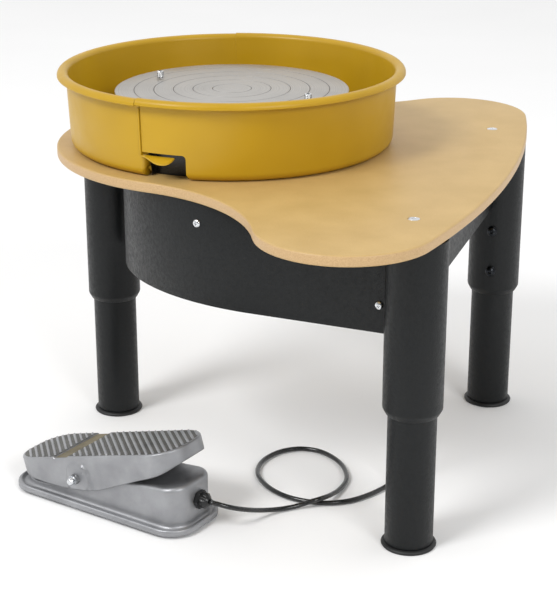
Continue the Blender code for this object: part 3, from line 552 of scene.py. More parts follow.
def darker_in_front(tree):
    """A white room, dim on the viewer's side, so that dark faces turned to the front stay dark."""
    place = tree.nodes.new("ShaderNodeTexCoord")
    split = tree.nodes.new("ShaderNodeSeparateXYZ")
    fade = tree.nodes.new("ShaderNodeMapRange")
    fade.interpolation_type = "SMOOTHSTEP"
    for key, value in (("From Min", -0.95), ("From Max", 0.1), ("To Min", 0.16), ("To Max", 0.95)):
        fade.inputs[key].default_value = value
    tree.links.new(place.outputs["Generated"], split.inputs[0])
    tree.links.new(split.outputs[1], fade.inputs["Value"])
    tree.links.new(fade.outputs["Result"], tree.nodes["Background"].inputs["Strength"])
    tree.nodes["Background"].inputs["Color"].default_value = (1.0, 1.0, 1.0, 1.0)


def make_stage():
    floor_look = Nodes("floor", 0.8)
    tone = floor_look.noise(0.5, 2.0)
    floor_look.colour(floor_look.ramp(tone, 0.3, 0.7, srgb(246, 246, 246), srgb(248, 248, 248)))
    bm = bmesh.new()
    bmesh.ops.create_grid(bm, x_segments=2, y_segments=2, size=FLOOR_REACH)
    floor = new_object("floor", bm)
    floor.data.materials.append(floor_look.material)
    world = bpy.data.worlds.new("studio")
    world.use_nodes = True
    darker_in_front(world.node_tree)
    bpy.context.scene.world = world
    bpy.context.scene.view_settings.view_transform = "Standard"
    area_light("key", (-4.0, -3.4, 5.4), LIT_POINT, 2.6, 285.0)
    area_light("fill", (2.6, -4.6, 3.4), LIT_POINT, 2.4, 130.0)


# ---- Cord ---------------------------------------------------------------------------------
CORD_R = 0.003
# From the pedal to the control box, as (x, y, z) from the wheel's axis.
CORD_ROUTE = [
    (-0.0208, -0.3424, 0.0360), (-0.0155, -0.3450, 0.0358), (0.0028, -0.3438, 0.0298),
    (0.0218, -0.3311, 0.0200), (0.0410, -0.3140, 0.0103), (0.0608, -0.3009, 0.0048),
    (0.0770, -0.2938, 0.0041), (0.0893, -0.2902, 0.0058), (0.1000, -0.2884, 0.0088),
    (0.1074, -0.2868, 0.0103), (0.1140, -0.2830, 0.0107), (0.1211, -0.2760, 0.0097),
    (0.1282, -0.2640, 0.0072), (0.1354, -0.2504, 0.0050), (0.1445, -0.2280, 0.0038),
    (0.1475, -0.2080, 0.0038), (0.1447, -0.1838, 0.0038), (0.1374, -0.1637, 0.0038),
    (0.1250, -0.1450, 0.0038), (0.1100, -0.1325, 0.0038), (0.0895, -0.1272, 0.0038),
    (0.0690, -0.1327, 0.0038), (0.0537, -0.1444, 0.0038), (0.0405, -0.1632, 0.0038),
    (0.0340, -0.1860, 0.0038), (0.0350, -0.2080, 0.0038), (0.0430, -0.2303, 0.0038),
    (0.0560, -0.2507, 0.0038), (0.0742, -0.2675, 0.0038), (0.0960, -0.2779, 0.0038),
    (0.1210, -0.2824, 0.0038), (0.1470, -0.2767, 0.0038), (0.1700, -0.2626, 0.0038),
    (0.1901, -0.2443, 0.0040), (0.2010, -0.2333, 0.0062), (0.2100, -0.2245, 0.0140),
    (0.2165, -0.2185, 0.0290), (0.2198, -0.2156, 0.0560), (0.2205, -0.2150, 0.1200),
    (0.2205, -0.2150, 0.2951),
]


def smooth_route(route, steps=8):
    """Points on a smooth curve through the route's own points."""
    points = [WHEEL @ Vector(p) for p in route]
    points = [points[0] * 2 - points[1]] + points + [points[-1] * 2 - points[-2]]
    out = []
    for a, b, c, d in zip(points, points[1:], points[2:], points[3:]):
        for i in range(steps):
            t = i / steps
            rise = (c - a) * t + (2 * a - 5 * b + 4 * c - d) * t * t + (3 * b - a - 3 * c + d) * t**3
            out.append(b + rise * 0.5)
    return out + [points[-2]]


def make_cord():
    points = smooth_route(CORD_ROUTE)
    curve = bpy.data.curves.new("pedal_cord_flex", "CURVE")
    curve.dimensions = "3D"
    curve.bevel_depth = CORD_R
    curve.bevel_resolution = 5
    curve.use_fill_caps = True
    spline = curve.splines.new("POLY")
    spline.points.add(len(points) - 1)
    for target, point in zip(spline.points, points):
        target.co = (*point, 1.0)
    curve.materials.append(LOOKS["cord_jacket"])
    cord = bpy.data.objects.new("pedal_cord_flex", curve)
    bpy.context.scene.collection.objects.link(cord)
    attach(cord, "frame")
    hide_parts("pedal_cord")


# ---- Table --------------------------------------------------------------------------------
LOBE_WHEEL = (0.0, 0.0, 0.229)
LOBE_FRONT = (0.1335, -0.3795, 0.1025)
LOBE_BACK = (0.3075, 0.145, 0.0985)
WAIST_R = 0.230
FLANK_R = 1.390
SHAFT_HOLE_R = 0.034
SCREW_SEAT = [(0, -0.02), (0.0034, -0.02), (0.0034, -0.0040), (0.0076, 0.0), (0.0076, 0.01), (0, 0.01)]


def tangent_centre(first, second, reach_first, reach_second, side):
    """The point at these two distances from two circles' centres, on one side of their line."""
    a, b = Vector(first[:2]), Vector(second[:2])
    apart = (b - a).length
    along = (reach_first**2 - reach_second**2 + apart**2) / (2 * apart)
    forward = (b - a) / apart
    sideways = Vector((-forward.y, forward.x)) * side
    return a + forward * along + sideways * math.sqrt(reach_first**2 - along**2)


def table_outline():
    """Counter-clockwise round the wheel, front and back lobes, with tangent arcs between them."""
    wheel, front, back = LOBE_WHEEL, LOBE_FRONT, LOBE_BACK
    waist_front = tangent_centre(wheel, front, wheel[2] + WAIST_R, front[2] + WAIST_R, -1)
    waist_back = tangent_centre(wheel, back, wheel[2] + WAIST_R, back[2] + WAIST_R, 1)
    flank = tangent_centre(front, back, FLANK_R - front[2], FLANK_R - back[2], 1)
    points = []
    for middle, radius, start, end, left_hand in (
        (wheel, wheel[2], heading(wheel, waist_back), heading(wheel, waist_front), True),
        (waist_front, WAIST_R, heading(waist_front, wheel), heading(waist_front, front), False),
        (front, front[2], heading(front, waist_front), heading(flank, front), True),
        (flank, FLANK_R, heading(flank, front), heading(flank, back), True),
        (back, back[2], heading(flank, back), heading(back, waist_back), True),
        (waist_back, WAIST_R, heading(waist_back, back), heading(waist_back, wheel), False),
    ):
        turn = (end - start) % 360.0 - (0.0 if left_hand else 360.0)
        points += arc(middle, radius, start, start + turn, 2.0 if radius < 1.0 else 0.5)
    return without_repeats(points)


def cross_recess(width, reach, depth, top):
    """The two arms of a Phillips recess to cut, their mouth at a height."""
    arms = []
    for turn in (0.0, 90.0):
        outline = box_outline(-reach, -width / 2, reach, width / 2, width * 0.3)
        low = [(p.x * 0.45, p.y * 0.7, top - depth) for p in outline]
        high = [(p.x, p.y, top + 0.001) for p in outline]
        arm = closed_skin([low, high])
        arms.append(placed(arm, Matrix.Rotation(math.radians(turn), 4, "Z")))
    return arms


def make_table():
    shaft_hole = turned([(0, -0.05), (SHAFT_HOLE_R, -0.05), (SHAFT_HOLE_R, 0.01), (0, 0.01)], 96)
    cuts = [placed(shaft_hole, Matrix.Translation((0, 0, TABLE_TOP)))]
    board = slab(table_outline(), TABLE_LOW, TABLE_TOP, 0.0026, 5)
    to_wheel = WHEEL.inverted()
    for side in SIDES:
        seat = turned(SCREW_SEAT, 32)
        cuts.append(placed(seat, to_wheel @ axis_at("table_screw_" + side, TABLE_TOP)))
    piece("table_board", board, "board", "frame", ["table_top"], WHEEL, cuts)
    screw = [
        (0, 0.0004), (0.0050, 0.0003, 0.004), (0.0073, -0.0002, 0.0003), (0.0030, -0.0043, 0.001),
        (0.0029, -0.0285), (0.0018, -0.0300), (0, -0.0300),
    ]
    for side in SIDES:
        name = "table_screw_" + side
        cuts = cross_recess(0.0016, 0.0036, 0.0022, 0.0004)
        place = axis_at(name, TABLE_TOP) @ Matrix.Rotation(math.radians(25), 4, "Z")
        piece(name + "_head", turned(screw, 48), "zinc", "frame", [name], place, cuts)


# ---- Steel panels and legs ----------------------------------------------------------------
SHEET = 0.0025
SLEEVE_R = 2.75 * INCH / 2
TUBE_R = 2.25 * INCH / 2
TUBE_WALL = 0.0025
BOLT_AIMS = {"left": 12.0, "front": 70.8, "back": 255.0}


def skirt_path():
    """From the left leg to the front leg: a wide bend under the pan, then straight."""
    straight_end = (0.030, -0.2785)
    bend_end = (-0.1372, -0.085)
    path = [Vector((0.1900, -0.3464)), Vector(straight_end)]
    path += bezier(straight_end, (-0.066, -0.2390), (-0.1290, -0.1600), bend_end, 28)
    path.append(Vector((-0.1425, -0.0215)))
    return path[::-1]


def bent_sheet(path, low, high, soft=0.0009):
    outline = path + offset(path, SHEET, closed=False)[::-1]
    return slab(outline, low, high, soft, 2)


def line_between(a, b, clear_a, clear_b):
    along = (b - a).normalized()
    return [a + along * clear_a, b - along * clear_b]


def leg_spot(side):
    return (WHEEL.inverted() @ centre("foot_" + side)).xy


def panel(name, node, path):
    sheet = bent_sheet(path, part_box(node)[0].z, UNDER)
    piece(name, sheet, "black_paint", "frame", [node], WHEEL)


def make_panels():
    panel("skirt_sheet", "front_skirt", skirt_path())
    clear = SLEEVE_R + 0.0006
    panel("side_sheet", "side_plate", line_between(leg_spot("front"), leg_spot("back"), clear, clear))
    corner = Vector((0.070, 0.128))
    to_back = line_between(corner, leg_spot("back"), 0.05, clear)
    to_left = line_between(corner, leg_spot("left"), 0.05, clear)
    bend = bezier(to_left[0], corner, corner, to_back[0], 14)
    panel("rear_sheet", "rear_plate", [to_left[1], to_left[0]] + bend + [to_back[1]])
    dome = [
        (0, 0.0031), (0.0024, 0.0030, 0.004), (0.0047, 0.0018, 0.002), (0.0052, 0.0004, 0.0004),
        (0.0052, 0.0002), (0.0032, 0.0002), (0.0032, -0.0058), (0, -0.0058),
    ]
    for name in ("skirt_screw_left", "skirt_screw_right"):
        recess = cross_recess(0.0014, 0.0028, 0.0018, 0.0031)
        piece(name + "_dome", turned(dome, 48), "zinc", "frame", [name], screw_place(name), recess)


def screw_place(name):
    """Where a screw's axis crosses the skirt's outer face, facing out of it."""
    path = skirt_path()
    local = WHEEL.inverted() @ centre(name)
    spare = 0.002
    runs = []
    for a, b in zip(path, path[1:]):
        if min(a.x, b.x) - spare <= local.x <= max(a.x, b.x) + spare:
            runs.append((a, b))
    a, b = runs[-1]
    along = (b - a).normalized()
    foot = a + along * (local.xy - a).dot(along)
    return WHEEL @ facing((*foot, local.z), (along.y, -along.x, 0))


def make_legs():
    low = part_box("leg_sleeve_left")[0].z
    sleeve = [
        (0, UNDER), (SLEEVE_R, UNDER, 0.0008), (SLEEVE_R, low + 0.0075, 0.006),
        (TUBE_R + 0.0022, low, 0.0016), (TUBE_R + GAP, low, 0.0005), (TUBE_R + GAP, low + 0.018),
        (0.0318, low + 0.022), (0.0318, UNDER - 0.006), (0, UNDER - 0.006),
    ]
    tube_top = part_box("leg_tube_left")[1].z
    inner = TUBE_R - TUBE_WALL
    tube = [
        (TUBE_R, tube_top, 0.0008), (TUBE_R, 0.0054, 0.0006), (inner, 0.0054, 0.0006),
        (inner, tube_top, 0.0008),
    ]
    rim = 0.0330
    foot = [
        (0, 0.024), (inner - GAP, 0.024, 0.001), (inner - GAP, 0.0050), (TUBE_R + 0.0006, 0.0050, 0.0004),
        (rim - 0.0016, 0.0042, 0.0016), (rim, 0.0022, 0.0012), (rim - 0.0014, 0.0, 0.0008),
        (0.020, 0.0, 0.001), (0.019, 0.0012, 0.001), (0, 0.0012),
    ]
    bolt = [
        (0, 0.0062), (0.0030, 0.0062, 0.002), (0.0060, 0.0046, 0.0025), (0.0066, 0.0022, 0.0006),
        (0.0071, 0.0020, 0.0005), (0.0071, 0.0007, 0.0003), (0.0034, 0.0007), (0.0034, -0.006), (0, -0.006),
    ]
    for side in SIDES:
        x, y = leg_spot(side)
        place = WHEEL @ Matrix.Translation((x, y, 0))
        body = "leg_" + side
        piece("sleeve_" + side, turned(sleeve), "black_paint", "frame", ["leg_sleeve_" + side], place)
        piece("tube_" + side, turned(tube, ring=True), "black_paint", body, ["leg_tube_" + side], place)
        piece("rubber_foot_" + side, turned(foot), "rubber", body, ["foot_" + side], place)
        for level in ("lower", "upper"):
            name = f"leg_bolt_{side}_{level}"
            height = centre(name).z
            out = on_circle((0, 0), 1.0, BOLT_AIMS[side])
            seat = place @ facing((*(out * SLEEVE_R), height), (*out, 0))
            socket = slab(hexagon(0.0024), 0.0036, 0.0080, 0.0001, 1)
            piece(name + "_head", turned(bolt, 48), "black_steel", "frame", [name], seat, [socket])


# ---- Wheel --------------------------------------------------------------------------------
def make_wheel():
    hub_low = 0.4180
    shaft_r = 0.375 * INCH
    bore = shaft_r + GAP
    shaft_top = HEAD_TOP - 0.008
    groove, deep = 0.0006, 0.0007
    top = [(0, HEAD_TOP)]
    for k in range(1, 6):
        r = k * INCH
        top += [(r - groove, HEAD_TOP), (r, HEAD_TOP - deep, 0.0002), (r + groove, HEAD_TOP)]
    head = top + [
        (HEAD_R - 0.0002, HEAD_TOP, 0.0012), (HEAD_R, HEAD_LOW - 0.004, 0.001),
        (HEAD_R - 0.004, HEAD_LOW - 0.004, 0.001), (HEAD_R - 0.006, HEAD_LOW, 0.002),
        (0.037, HEAD_LOW, 0.004), (0.027, HEAD_LOW - 0.008, 0.003), (0.027, hub_low, 0.001),
        (bore, hub_low, 0.0005), (bore, shaft_top + GAP), (0, shaft_top + GAP),
    ]
    holes = []
    hole_r = 0.0036
    to_wheel = WHEEL.inverted()
    pins = ("bat_pin_left", "bat_pin_right")
    for name in pins:
        hole = turned([(0, -0.02), (hole_r, -0.02), (hole_r, 0.01), (0, 0.01)], 32)
        holes.append(placed(hole, to_wheel @ axis_at(name, HEAD_TOP)))
    piece("wheelhead_disc", turned(head, 192), "turned_aluminium", "wheel", ["wheelhead"], WHEEL, holes)
    pin = [
        (0, 0.0084), (0.0046, 0.0084, 0.0007), (0.0046, 0.0004, 0.0002), (0.0030, 0.0004),
        (0.0030, -0.0080, 0.0006), (0, -0.0080),
    ]
    for name in pins:
        socket = slab(hexagon(0.0027), 0.0042, 0.0100, 0.0001, 1)
        screw = knurled(turned(pin, 72))
        piece(name + "_screw", screw, "zinc", "wheel", [name], axis_at(name, HEAD_TOP), [socket])
    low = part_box("wheel_shaft")[0].z
    shaft = [(0, shaft_top), (shaft_r, shaft_top, 0.001), (shaft_r, low, 0.001), (0, low)]
    piece("wheel_spindle", turned(shaft, 64), "steel", "wheel", ["wheel_shaft"], WHEEL)


def knurled(bm, depth=0.00012):
    """Fine upright flutes round a socket head."""
    for vertex in bm.verts:
        r = vertex.co.xy.length
        if r > 0.0045 and 0.0008 < vertex.co.z < 0.0078:
            a = math.atan2(vertex.co.y, vertex.co.x)
            vertex.co.xy *= 1 - depth / r * (1 + math.cos(36 * a))
    return bm


# ---- Splash pan ---------------------------------------------------------------------------
FRONT_SEAM, BACK_SEAM = 240.5, 90.0
PAN_FLOOR = 0.3924
PAN_HALF_SHEET = 0.0015
WALL_R = 0.2138
NOTCH_TOP = 0.4240
NOTCH_LONG = math.radians(15.8) * WALL_R
NOTCH_SHADE_INSET = 0.0012
FRONT_GAP = 0.24


def pan_profile(lift=0.0):
    """The sheet's section: collar, floor, wall and rolled rim, both faces worked out from its middle."""
    h = PAN_HALF_SHEET
    middle = filleted([
        (0.0455, 0.4225), (0.0455, PAN_FLOOR + h, 0.005), (0.2083, PAN_FLOOR + h, 0.0095),
        (0.2124, RIM_Z - h + lift, 0.0052), (RIM_R - h, RIM_Z - h + lift, 0.0050),
        (RIM_R - h, RIM_Z - 0.0072 + lift),
    ], step=10.0)
    one = offset(middle, h, closed=False)
    other = offset(middle, -h, closed=False)
    tip = middle[-1] + (middle[-1] - middle[-2]).normalized() * h * 0.7
    return [tuple(p) for p in one + [tip] + other[::-1]]


def curved_prism(outline, r_in, r_out):
    """An (arc length, height) outline wrapped round the wheel's axis at the front seam."""
    rings = []
    for r in (r_in, r_out):
        ring = []
        for s, z in outline:
            x, y = on_circle((0, 0), r, FRONT_SEAM + math.degrees(s / WALL_R))
            ring.append((x, y, z))
        rings.append(ring)
    return closed_skin(rings)


def spaced(points, longest=0.003):
    """The closed outline with points added along its long runs."""
    out = []
    for i, a in enumerate(points):
        b = points[(i + 1) % len(points)]
        count = max(1, math.ceil((b - a).length / longest))
        out += [a.lerp(b, k / count) for k in range(count)]
    return out


def notch_cutter():
    low = PAN_FLOOR - 0.0012
    outline = filleted([
        (-0.004, low - 0.02), (NOTCH_LONG + 0.018, low - 0.02), (NOTCH_LONG + 0.018, low),
        (NOTCH_LONG, low, 0.0105), (NOTCH_LONG, NOTCH_TOP, 0.0050), (0.0, NOTCH_TOP),
        (-0.004, NOTCH_TOP),
    ], closed=True)
    return curved_prism(spaced(outline), WALL_R - 0.026, RIM_R + 0.01)


TONGUE_BULGE = [
    (0.0, 0.03), (0.12, 0.12), (0.25, 0.30), (0.50, 0.80), (0.70, 1.0), (0.84, 0.92), (0.93, 0.66),
    (0.98, 0.32), (1.0, 0.05),
]


def tongue():
    """A lip that leaves the seam narrow, swells outwards and droops, and ends in a round tip."""
    start, sweep, steps = FRONT_SEAM - 0.3, 12.1, 60
    thick = 0.0020
    rings = []
    for i in range(steps + 1):
        t = 1 - (1 - i / steps) ** 1.5
        swell = through(TONGUE_BULGE, t)
        reach = 0.0108 * swell
        droop = 0.0050 * swell
        section = []
        for k in range(9):
            u = k / 8
            section.append((WALL_R - 0.0052 + (0.0030 + reach) * u, 0.4200 - droop * u**1.8))
        section += [(r - 0.0002, z - thick) for r, z in reversed(section)]
        rings.append([(*on_circle((0, 0), r, start + sweep * t), z) for r, z in section])
    return closed_skin(rings)


def seam_rib():
    """The left half's upright edge at the front seam, a little proud of its wall."""
    low, high = (0.2100, 0.4195), (0.2125, 0.4780)
    proud, h = 0.0024, 0.0006
    profile = [low, high, (high[0] + proud, high[1], h), (low[0] + proud, low[1], h)]
    return turned(profile, 4, FRONT_SEAM - 0.52, 0.45, ring=True)


def front_lap():
    """The strip on the left half that closes the gap of the front seam from inside."""
    low, high = (0.2081, 0.4260), (0.2103, 0.4800)
    thick = 0.0011
    profile = [(low[0] - thick, low[1], 0.0003), (high[0] - thick, high[1], 0.0003), high, low]
    return turned(profile, 4, FRONT_SEAM - 1.0, 1.7, ring=True)


def back_lap():
    """The strip on the right half that laps over the left one at the back."""
    low, high = (0.2101, 0.4000), (0.2141, 0.4800)
    thick = 0.0010
    profile = [low, high, (high[0] + thick, high[1], 0.0004), (low[0] + thick, low[1], 0.0004)]
    return turned(profile, 8, BACK_SEAM - 1.5, 4.2, ring=True)


def pocket(nearer=0.0):
    """The wall and roof that close the notch off from the basin, or a thin layer just inside them that, in black,
    is painted shade in the notch.
    """
    inner = WALL_R - 0.0265 + nearer
    roof = NOTCH_TOP + 0.0012 - nearer
    outer = WALL_R - 0.0045 - nearer
    thick = 0.0020 if nearer == 0.0 else 0.0008
    outline = [
        (outer, roof + thick, 0.0003), (inner - thick, roof + thick, 0.004),
        (inner - thick, PAN_FLOOR, 0.0003), (inner, PAN_FLOOR, 0.0003), (inner, roof, 0.002),
        (outer, roof, 0.0003),
    ]
    sweep = math.degrees(NOTCH_LONG / WALL_R)
    bm = turned(outline, 24, FRONT_SEAM + 0.1, sweep - 0.1, ring=True)
    wall = [
        (inner, PAN_FLOOR), (outer - 0.0100, PAN_FLOOR), (outer - 0.0020, NOTCH_TOP), (inner, NOTCH_TOP),
    ]
    ends = [sweep - math.degrees(nearer / WALL_R)]
    # The painted-shade layer gets a second end: a black panel that stands for the shade on the left half's end
    # below the tongue.
    if nearer > 0.0:
        ends.append(1.75)
    for end in ends:
        merge(bm, turned(wall, 2, FRONT_SEAM + end, 0.2, ring=True))
    return bm


def rounded_end():
    """The left half's wall below the tongue, turned in to a round corner just past the seam."""
    h = PAN_HALF_SHEET
    wall = filleted([(-0.016, PAN_FLOOR + h), (0.0, PAN_FLOOR + h, 0.0095), (0.0012, 0.4196)], step=10.0)
    section = offset(wall, h, closed=False) + offset(wall, -h, closed=False)[::-1]
    base = 0.2083
    bend = 0.0046
    rings = []
    turns = [(90.0 * i / 14, 0.0) for i in range(15)]
    turns += [(90.0, 0.005), (90.0, 0.011), (90.0, 0.0165)]
    for turn, beyond in turns:
        a = math.radians(turn)
        side = bend * math.sin(a)
        inward = bend * (1 - math.cos(a)) + beyond
        rise = 0.0105 * (1 - math.cos(a)) ** 0.8
        ring = []
        for u, z in section:
            r = base - inward + u * math.cos(a)
            s = side + max(u, -0.004) * math.sin(a) * 0.5
            x, y = on_circle((0, 0), r, FRONT_SEAM - 0.35 + math.degrees(s / WALL_R))
            lifted = z + rise * smoothly((0.410 - z) / 0.016)
            ring.append((x, y, lifted))
        rings.append(ring)
    return closed_skin(rings)


def make_pan():
    """The left half carries the rib, lap and tongue of the front seam; the right half is notched."""
    slack = 0.012
    left_sweep = FRONT_SEAM - BACK_SEAM - 2 * slack
    left = turned(pan_profile(-0.0009), 150, BACK_SEAM + slack, left_sweep, ring=True)
    for extra in (seam_rib(), front_lap(), tongue(), rounded_end()):
        merge(left, extra)
    piece("pan_half_left", left, "pan_plastic", "pan_left", ["splash_pan_left"], WHEEL)
    right_sweep = 360.0 - FRONT_SEAM + BACK_SEAM - FRONT_GAP - slack
    right = turned(pan_profile(), 208, FRONT_SEAM + FRONT_GAP, right_sweep, ring=True)
    cut = [notch_cutter()]
    piece("pan_half_right", right, "pan_plastic", "pan_right", ["splash_pan_right"], WHEEL, cut)
    piece("pan_lap", back_lap(), "pan_plastic", "pan_right", [], WHEEL)
    piece("notch_pocket", pocket(), "pan_plastic", "pan_right", [], WHEEL)
    # A black sheet just inside the pocket: painted shade in the notch.
    piece("notch_painted_shade", pocket(NOTCH_SHADE_INSET), "black_plastic", "pan_right", [], WHEEL)


# ---- Pedal --------------------------------------------------------------------------------
TREADLE_HALF = 0.044
TREADLE_HEEL, TREADLE_TOE = -0.133, 0.116
TREADLE_SLOPE, TREADLE_TOP = 0.283, 0.0767
TREADLE_HEM = [
    (-0.130, 0.0205), (-0.067, 0.0210), (-0.026, 0.0265), (0.000, 0.0345), (0.020, 0.0440),
    (0.057, 0.0610), (0.092, 0.0770), (0.116, 0.0930),
]
RIB_INSET = 0.0032
BASE_CROWN = [
    (-0.130, 0.0180), (-0.085, 0.0190), (-0.068, 0.0260), (-0.045, 0.0480), (-0.010, 0.0510),
    (0.050, 0.0550), (0.124, 0.0615),
]
BAND = (-0.063, -0.041)
PEDAL_END = 0.134
FLANGE_HALF, BASE_HALF = 0.052, 0.0388


def plan(heel, toe, half, heel_r, toe_r, steps=12, middle=40):
    """A rounded slab's plan from the middle of its heel, along +Y to the toe's middle and back."""
    side = [Vector((heel, 0.0)), Vector((heel, (half - heel_r) * 0.5))]
    side += arc((heel + heel_r, half - heel_r), heel_r, 180.0, 90.0, 90.0 / steps)
    first, last = heel + heel_r, toe - toe_r
    side += [Vector((first + (last - first) * i / middle, half)) for i in range(1, middle)]
    side += arc((toe - toe_r, half - toe_r), toe_r, 90.0, 0.0, 90.0 / steps)
    side += [Vector((toe, (half - toe_r) * 0.5)), Vector((toe, 0.0))]
    return side + [Vector((p.x, -p.y)) for p in side[-2:0:-1]]


def lofted(rings):
    """Skins rings that each run round a plan, and closes the first and last by strips across."""
    bm, rows = skinned(rings)
    count = len(rings[0])
    for row in (rows[0], rows[-1]):
        for i in range(count // 2):
            corners = []
            across = (row[i], row[i + 1], row[(count - i - 1) % count], row[(count - i) % count])
            for vertex in across:
                if vertex not in corners:
                    corners.append(vertex)
            if len(corners) > 2:
                bm.faces.new(corners)
    return bm


def treadle_plan(inward, middle=40):
    half = TREADLE_HALF - inward
    heel_r, toe_r = 0.034 - inward, 0.036 - inward
    return plan(TREADLE_HEEL + inward, TREADLE_TOE - inward, half, heel_r, toe_r, middle=middle)


def on_treadle(p, lift):
    """A plan point at a height over the treading face, measured from the pivot."""
    return (p.x - PIVOT_X, p.y, TREADLE_TOP + TREADLE_SLOPE * p.x + lift - PIVOT_Z)


def treadle_top(x):
    """The treading face, with a shallow band across it."""
    dip = smoothly((x - BAND[0]) / 0.0015) * smoothly((BAND[1] - x) / 0.0015)
    return TREADLE_TOP + TREADLE_SLOPE * x - 0.0016 * dip


def side_relief(x, z):
    """How far the treadle's side stands out at (x, z): a pocket and a curved ridge by the pivot."""
    dx, dz = x - PIVOT_X, z - PIVOT_Z
    r = math.hypot(dx, dz)
    pocket = smoothly((dx + 0.0165) / 0.002) * smoothly((0.0205 - r) / 0.002)
    if dz > 0.004:
        heading_up = math.degrees(math.atan2(dz, dx))
        ridge = math.exp(-(((r - 0.0208) / 0.0021) ** 2)) * smoothly((76 - heading_up) / 14)
    else:
        ridge = math.exp(-(((dx - 0.0204 - (0.004 - dz) * 0.42) / 0.0021) ** 2))
    return 0.0034 * ridge - 0.0017 * pocket


def treadle_ring(inward, share, extra=0.0, relief=False):
    """A ring round the treadle: inward from its edge, at a share of the way down, plus a drop."""
    ring = []
    lean = math.hypot(1.0, TREADLE_SLOPE)
    outline = treadle_plan(inward, 140)
    for p in outline:
        top = treadle_top(p.x)
        drop = (top - through(TREADLE_HEM, p.x)) * share + extra / lean
        x, y, z = p.x + TREADLE_SLOPE * drop, p.y, top - drop
        if relief and TREADLE_HEEL + 0.034 < p.x < TREADLE_TOE - 0.036:
            y += math.copysign(side_relief(x, z), y)
        ring.append((x - PIVOT_X, y, z - PIVOT_Z))
    return ring


def treadle_mesh():
    soft, hem, wall, roof = 0.0024, 0.0014, 0.0038, 0.005
    rings = []
    for k in range(6):
        a = math.pi / 2 * k / 5
        rings.append(treadle_ring(soft * (1 - math.sin(a)), 0.0, soft * (1 - math.cos(a))))
    for k in range(1, 20):
        share = k / 20
        rings.append(treadle_ring(0.0, share, soft * (1 - share), relief=True))
    round_hem = ((0.0, 0.0), (hem * 0.3, hem * 0.7), (hem, hem), (wall - hem, hem), (wall, 0.0))
    for inward, extra in round_hem:
        rings.append(treadle_ring(inward, 1.0, extra - hem))
    rings.append(treadle_ring(wall, 0.5))
    rings.append(treadle_ring(wall, 0.0, roof + 0.003))
    rings.append(treadle_ring(wall + 0.003, 0.0, roof))
    return lofted(rings)


def band_mesh():
    """The worn strip that lies in the band across the treadle."""
    reach = TREADLE_HALF - RIB_INSET
    strip = box_outline(BAND[0] + 0.0016, -reach, BAND[1] - 0.0016, reach, 0.0008)
    rings = []
    for lift in (-0.0005, 0.0003):
        rings.append([(p.x - PIVOT_X, p.y, treadle_top(p.x) + lift - PIVOT_Z) for p in strip])
    return closed_skin(rings)


def inside_plan(x, y, inward):
    """Whether a point is inside the treadle's top, this far in from its edge."""
    half = TREADLE_HALF - inward
    heel, toe = TREADLE_HEEL + inward, TREADLE_TOE - inward
    radius = (0.034 if x < 0 else 0.036) - inward
    dx = max(heel + radius - x, x - (toe - radius), 0.0)
    dy = max(abs(y) - (half - radius), 0.0)
    return math.hypot(dx, dy) <= radius and abs(y) <= half


def rib(bm, start, end, wide=0.0018, high=0.0017):
    """A rounded bar on the treadle's top from start to end, its ends rounded off."""
    along = (end - start).normalized()
    across = Vector((-along.y, along.x))
    length = (end - start).length
    side = [(-1.0, -0.5), (-1.0, 0.15), (-0.72, 0.72), (-0.3, 0.97)]
    section = side + [(-u, v) for u, v in reversed(side)]
    ends = [(0.0, 0.45), (0.0006, 0.8), (0.0017, 1.0)]
    stations = ends + [(length - s, k) for s, k in reversed(ends)]
    rings = []
    for s, scale in stations:
        ring = []
        for u, v in section:
            p = start + along * s + across * u * wide * scale
            lift = v * high * scale if v > 0 else v * 0.0008
            ring.append(on_treadle(p, lift))
        rings.append(ring)
    merge(bm, closed_skin(rings))


def ribs_mesh():
    """Bars across the top at 45 degrees, cut short of its edge and of the band."""
    bm = bmesh.new()
    pitch, step, inward = 0.0072, 0.0005, 0.0030
    along = Vector((1.0, -1.0)).normalized()
    across = Vector((1.0, 1.0)).normalized()
    for k in range(-24, 25):
        run = []
        for i in range(-400, 401):
            p = across * k * pitch + along * i * step
            clear = not BAND[0] - 0.0022 < p.x < BAND[1] + 0.0022
            if clear and inside_plan(p.x, p.y, inward):
                run.append(p)
            elif run:
                if (run[-1] - run[0]).length > 0.005:
                    rib(bm, run[0], run[-1])
                run = []
    return bm


def shade_ground_mesh():
    """A darker skin on the top between the bars, on both sides of the band: painted shade in the grooves between
    them.
    """
    bm = bmesh.new()
    outline = treadle_plan(RIB_INSET)
    for first, last in ((-1.0, BAND[0] - 0.0004), (BAND[1] + 0.0004, 1.0)):
        kept = without_repeats([Vector((min(max(p.x, first), last), p.y)) for p in outline])
        merge(bm, closed_skin([[on_treadle(p, rise) for p in kept] for rise in (-0.0010, 0.00022)]))
    return bm


def crown_ring(outline, inward, drop):
    ring = []
    for p, q in zip(outline(inward), outline(0.0)):
        ring.append((p.x, p.y, through(BASE_CROWN, q.x) - drop))
    return ring


def base_outline(inward):
    end = PEDAL_END - 0.0095 - inward
    return plan(-end, end, BASE_HALF - inward, 0.030 - inward, 0.026 - inward)


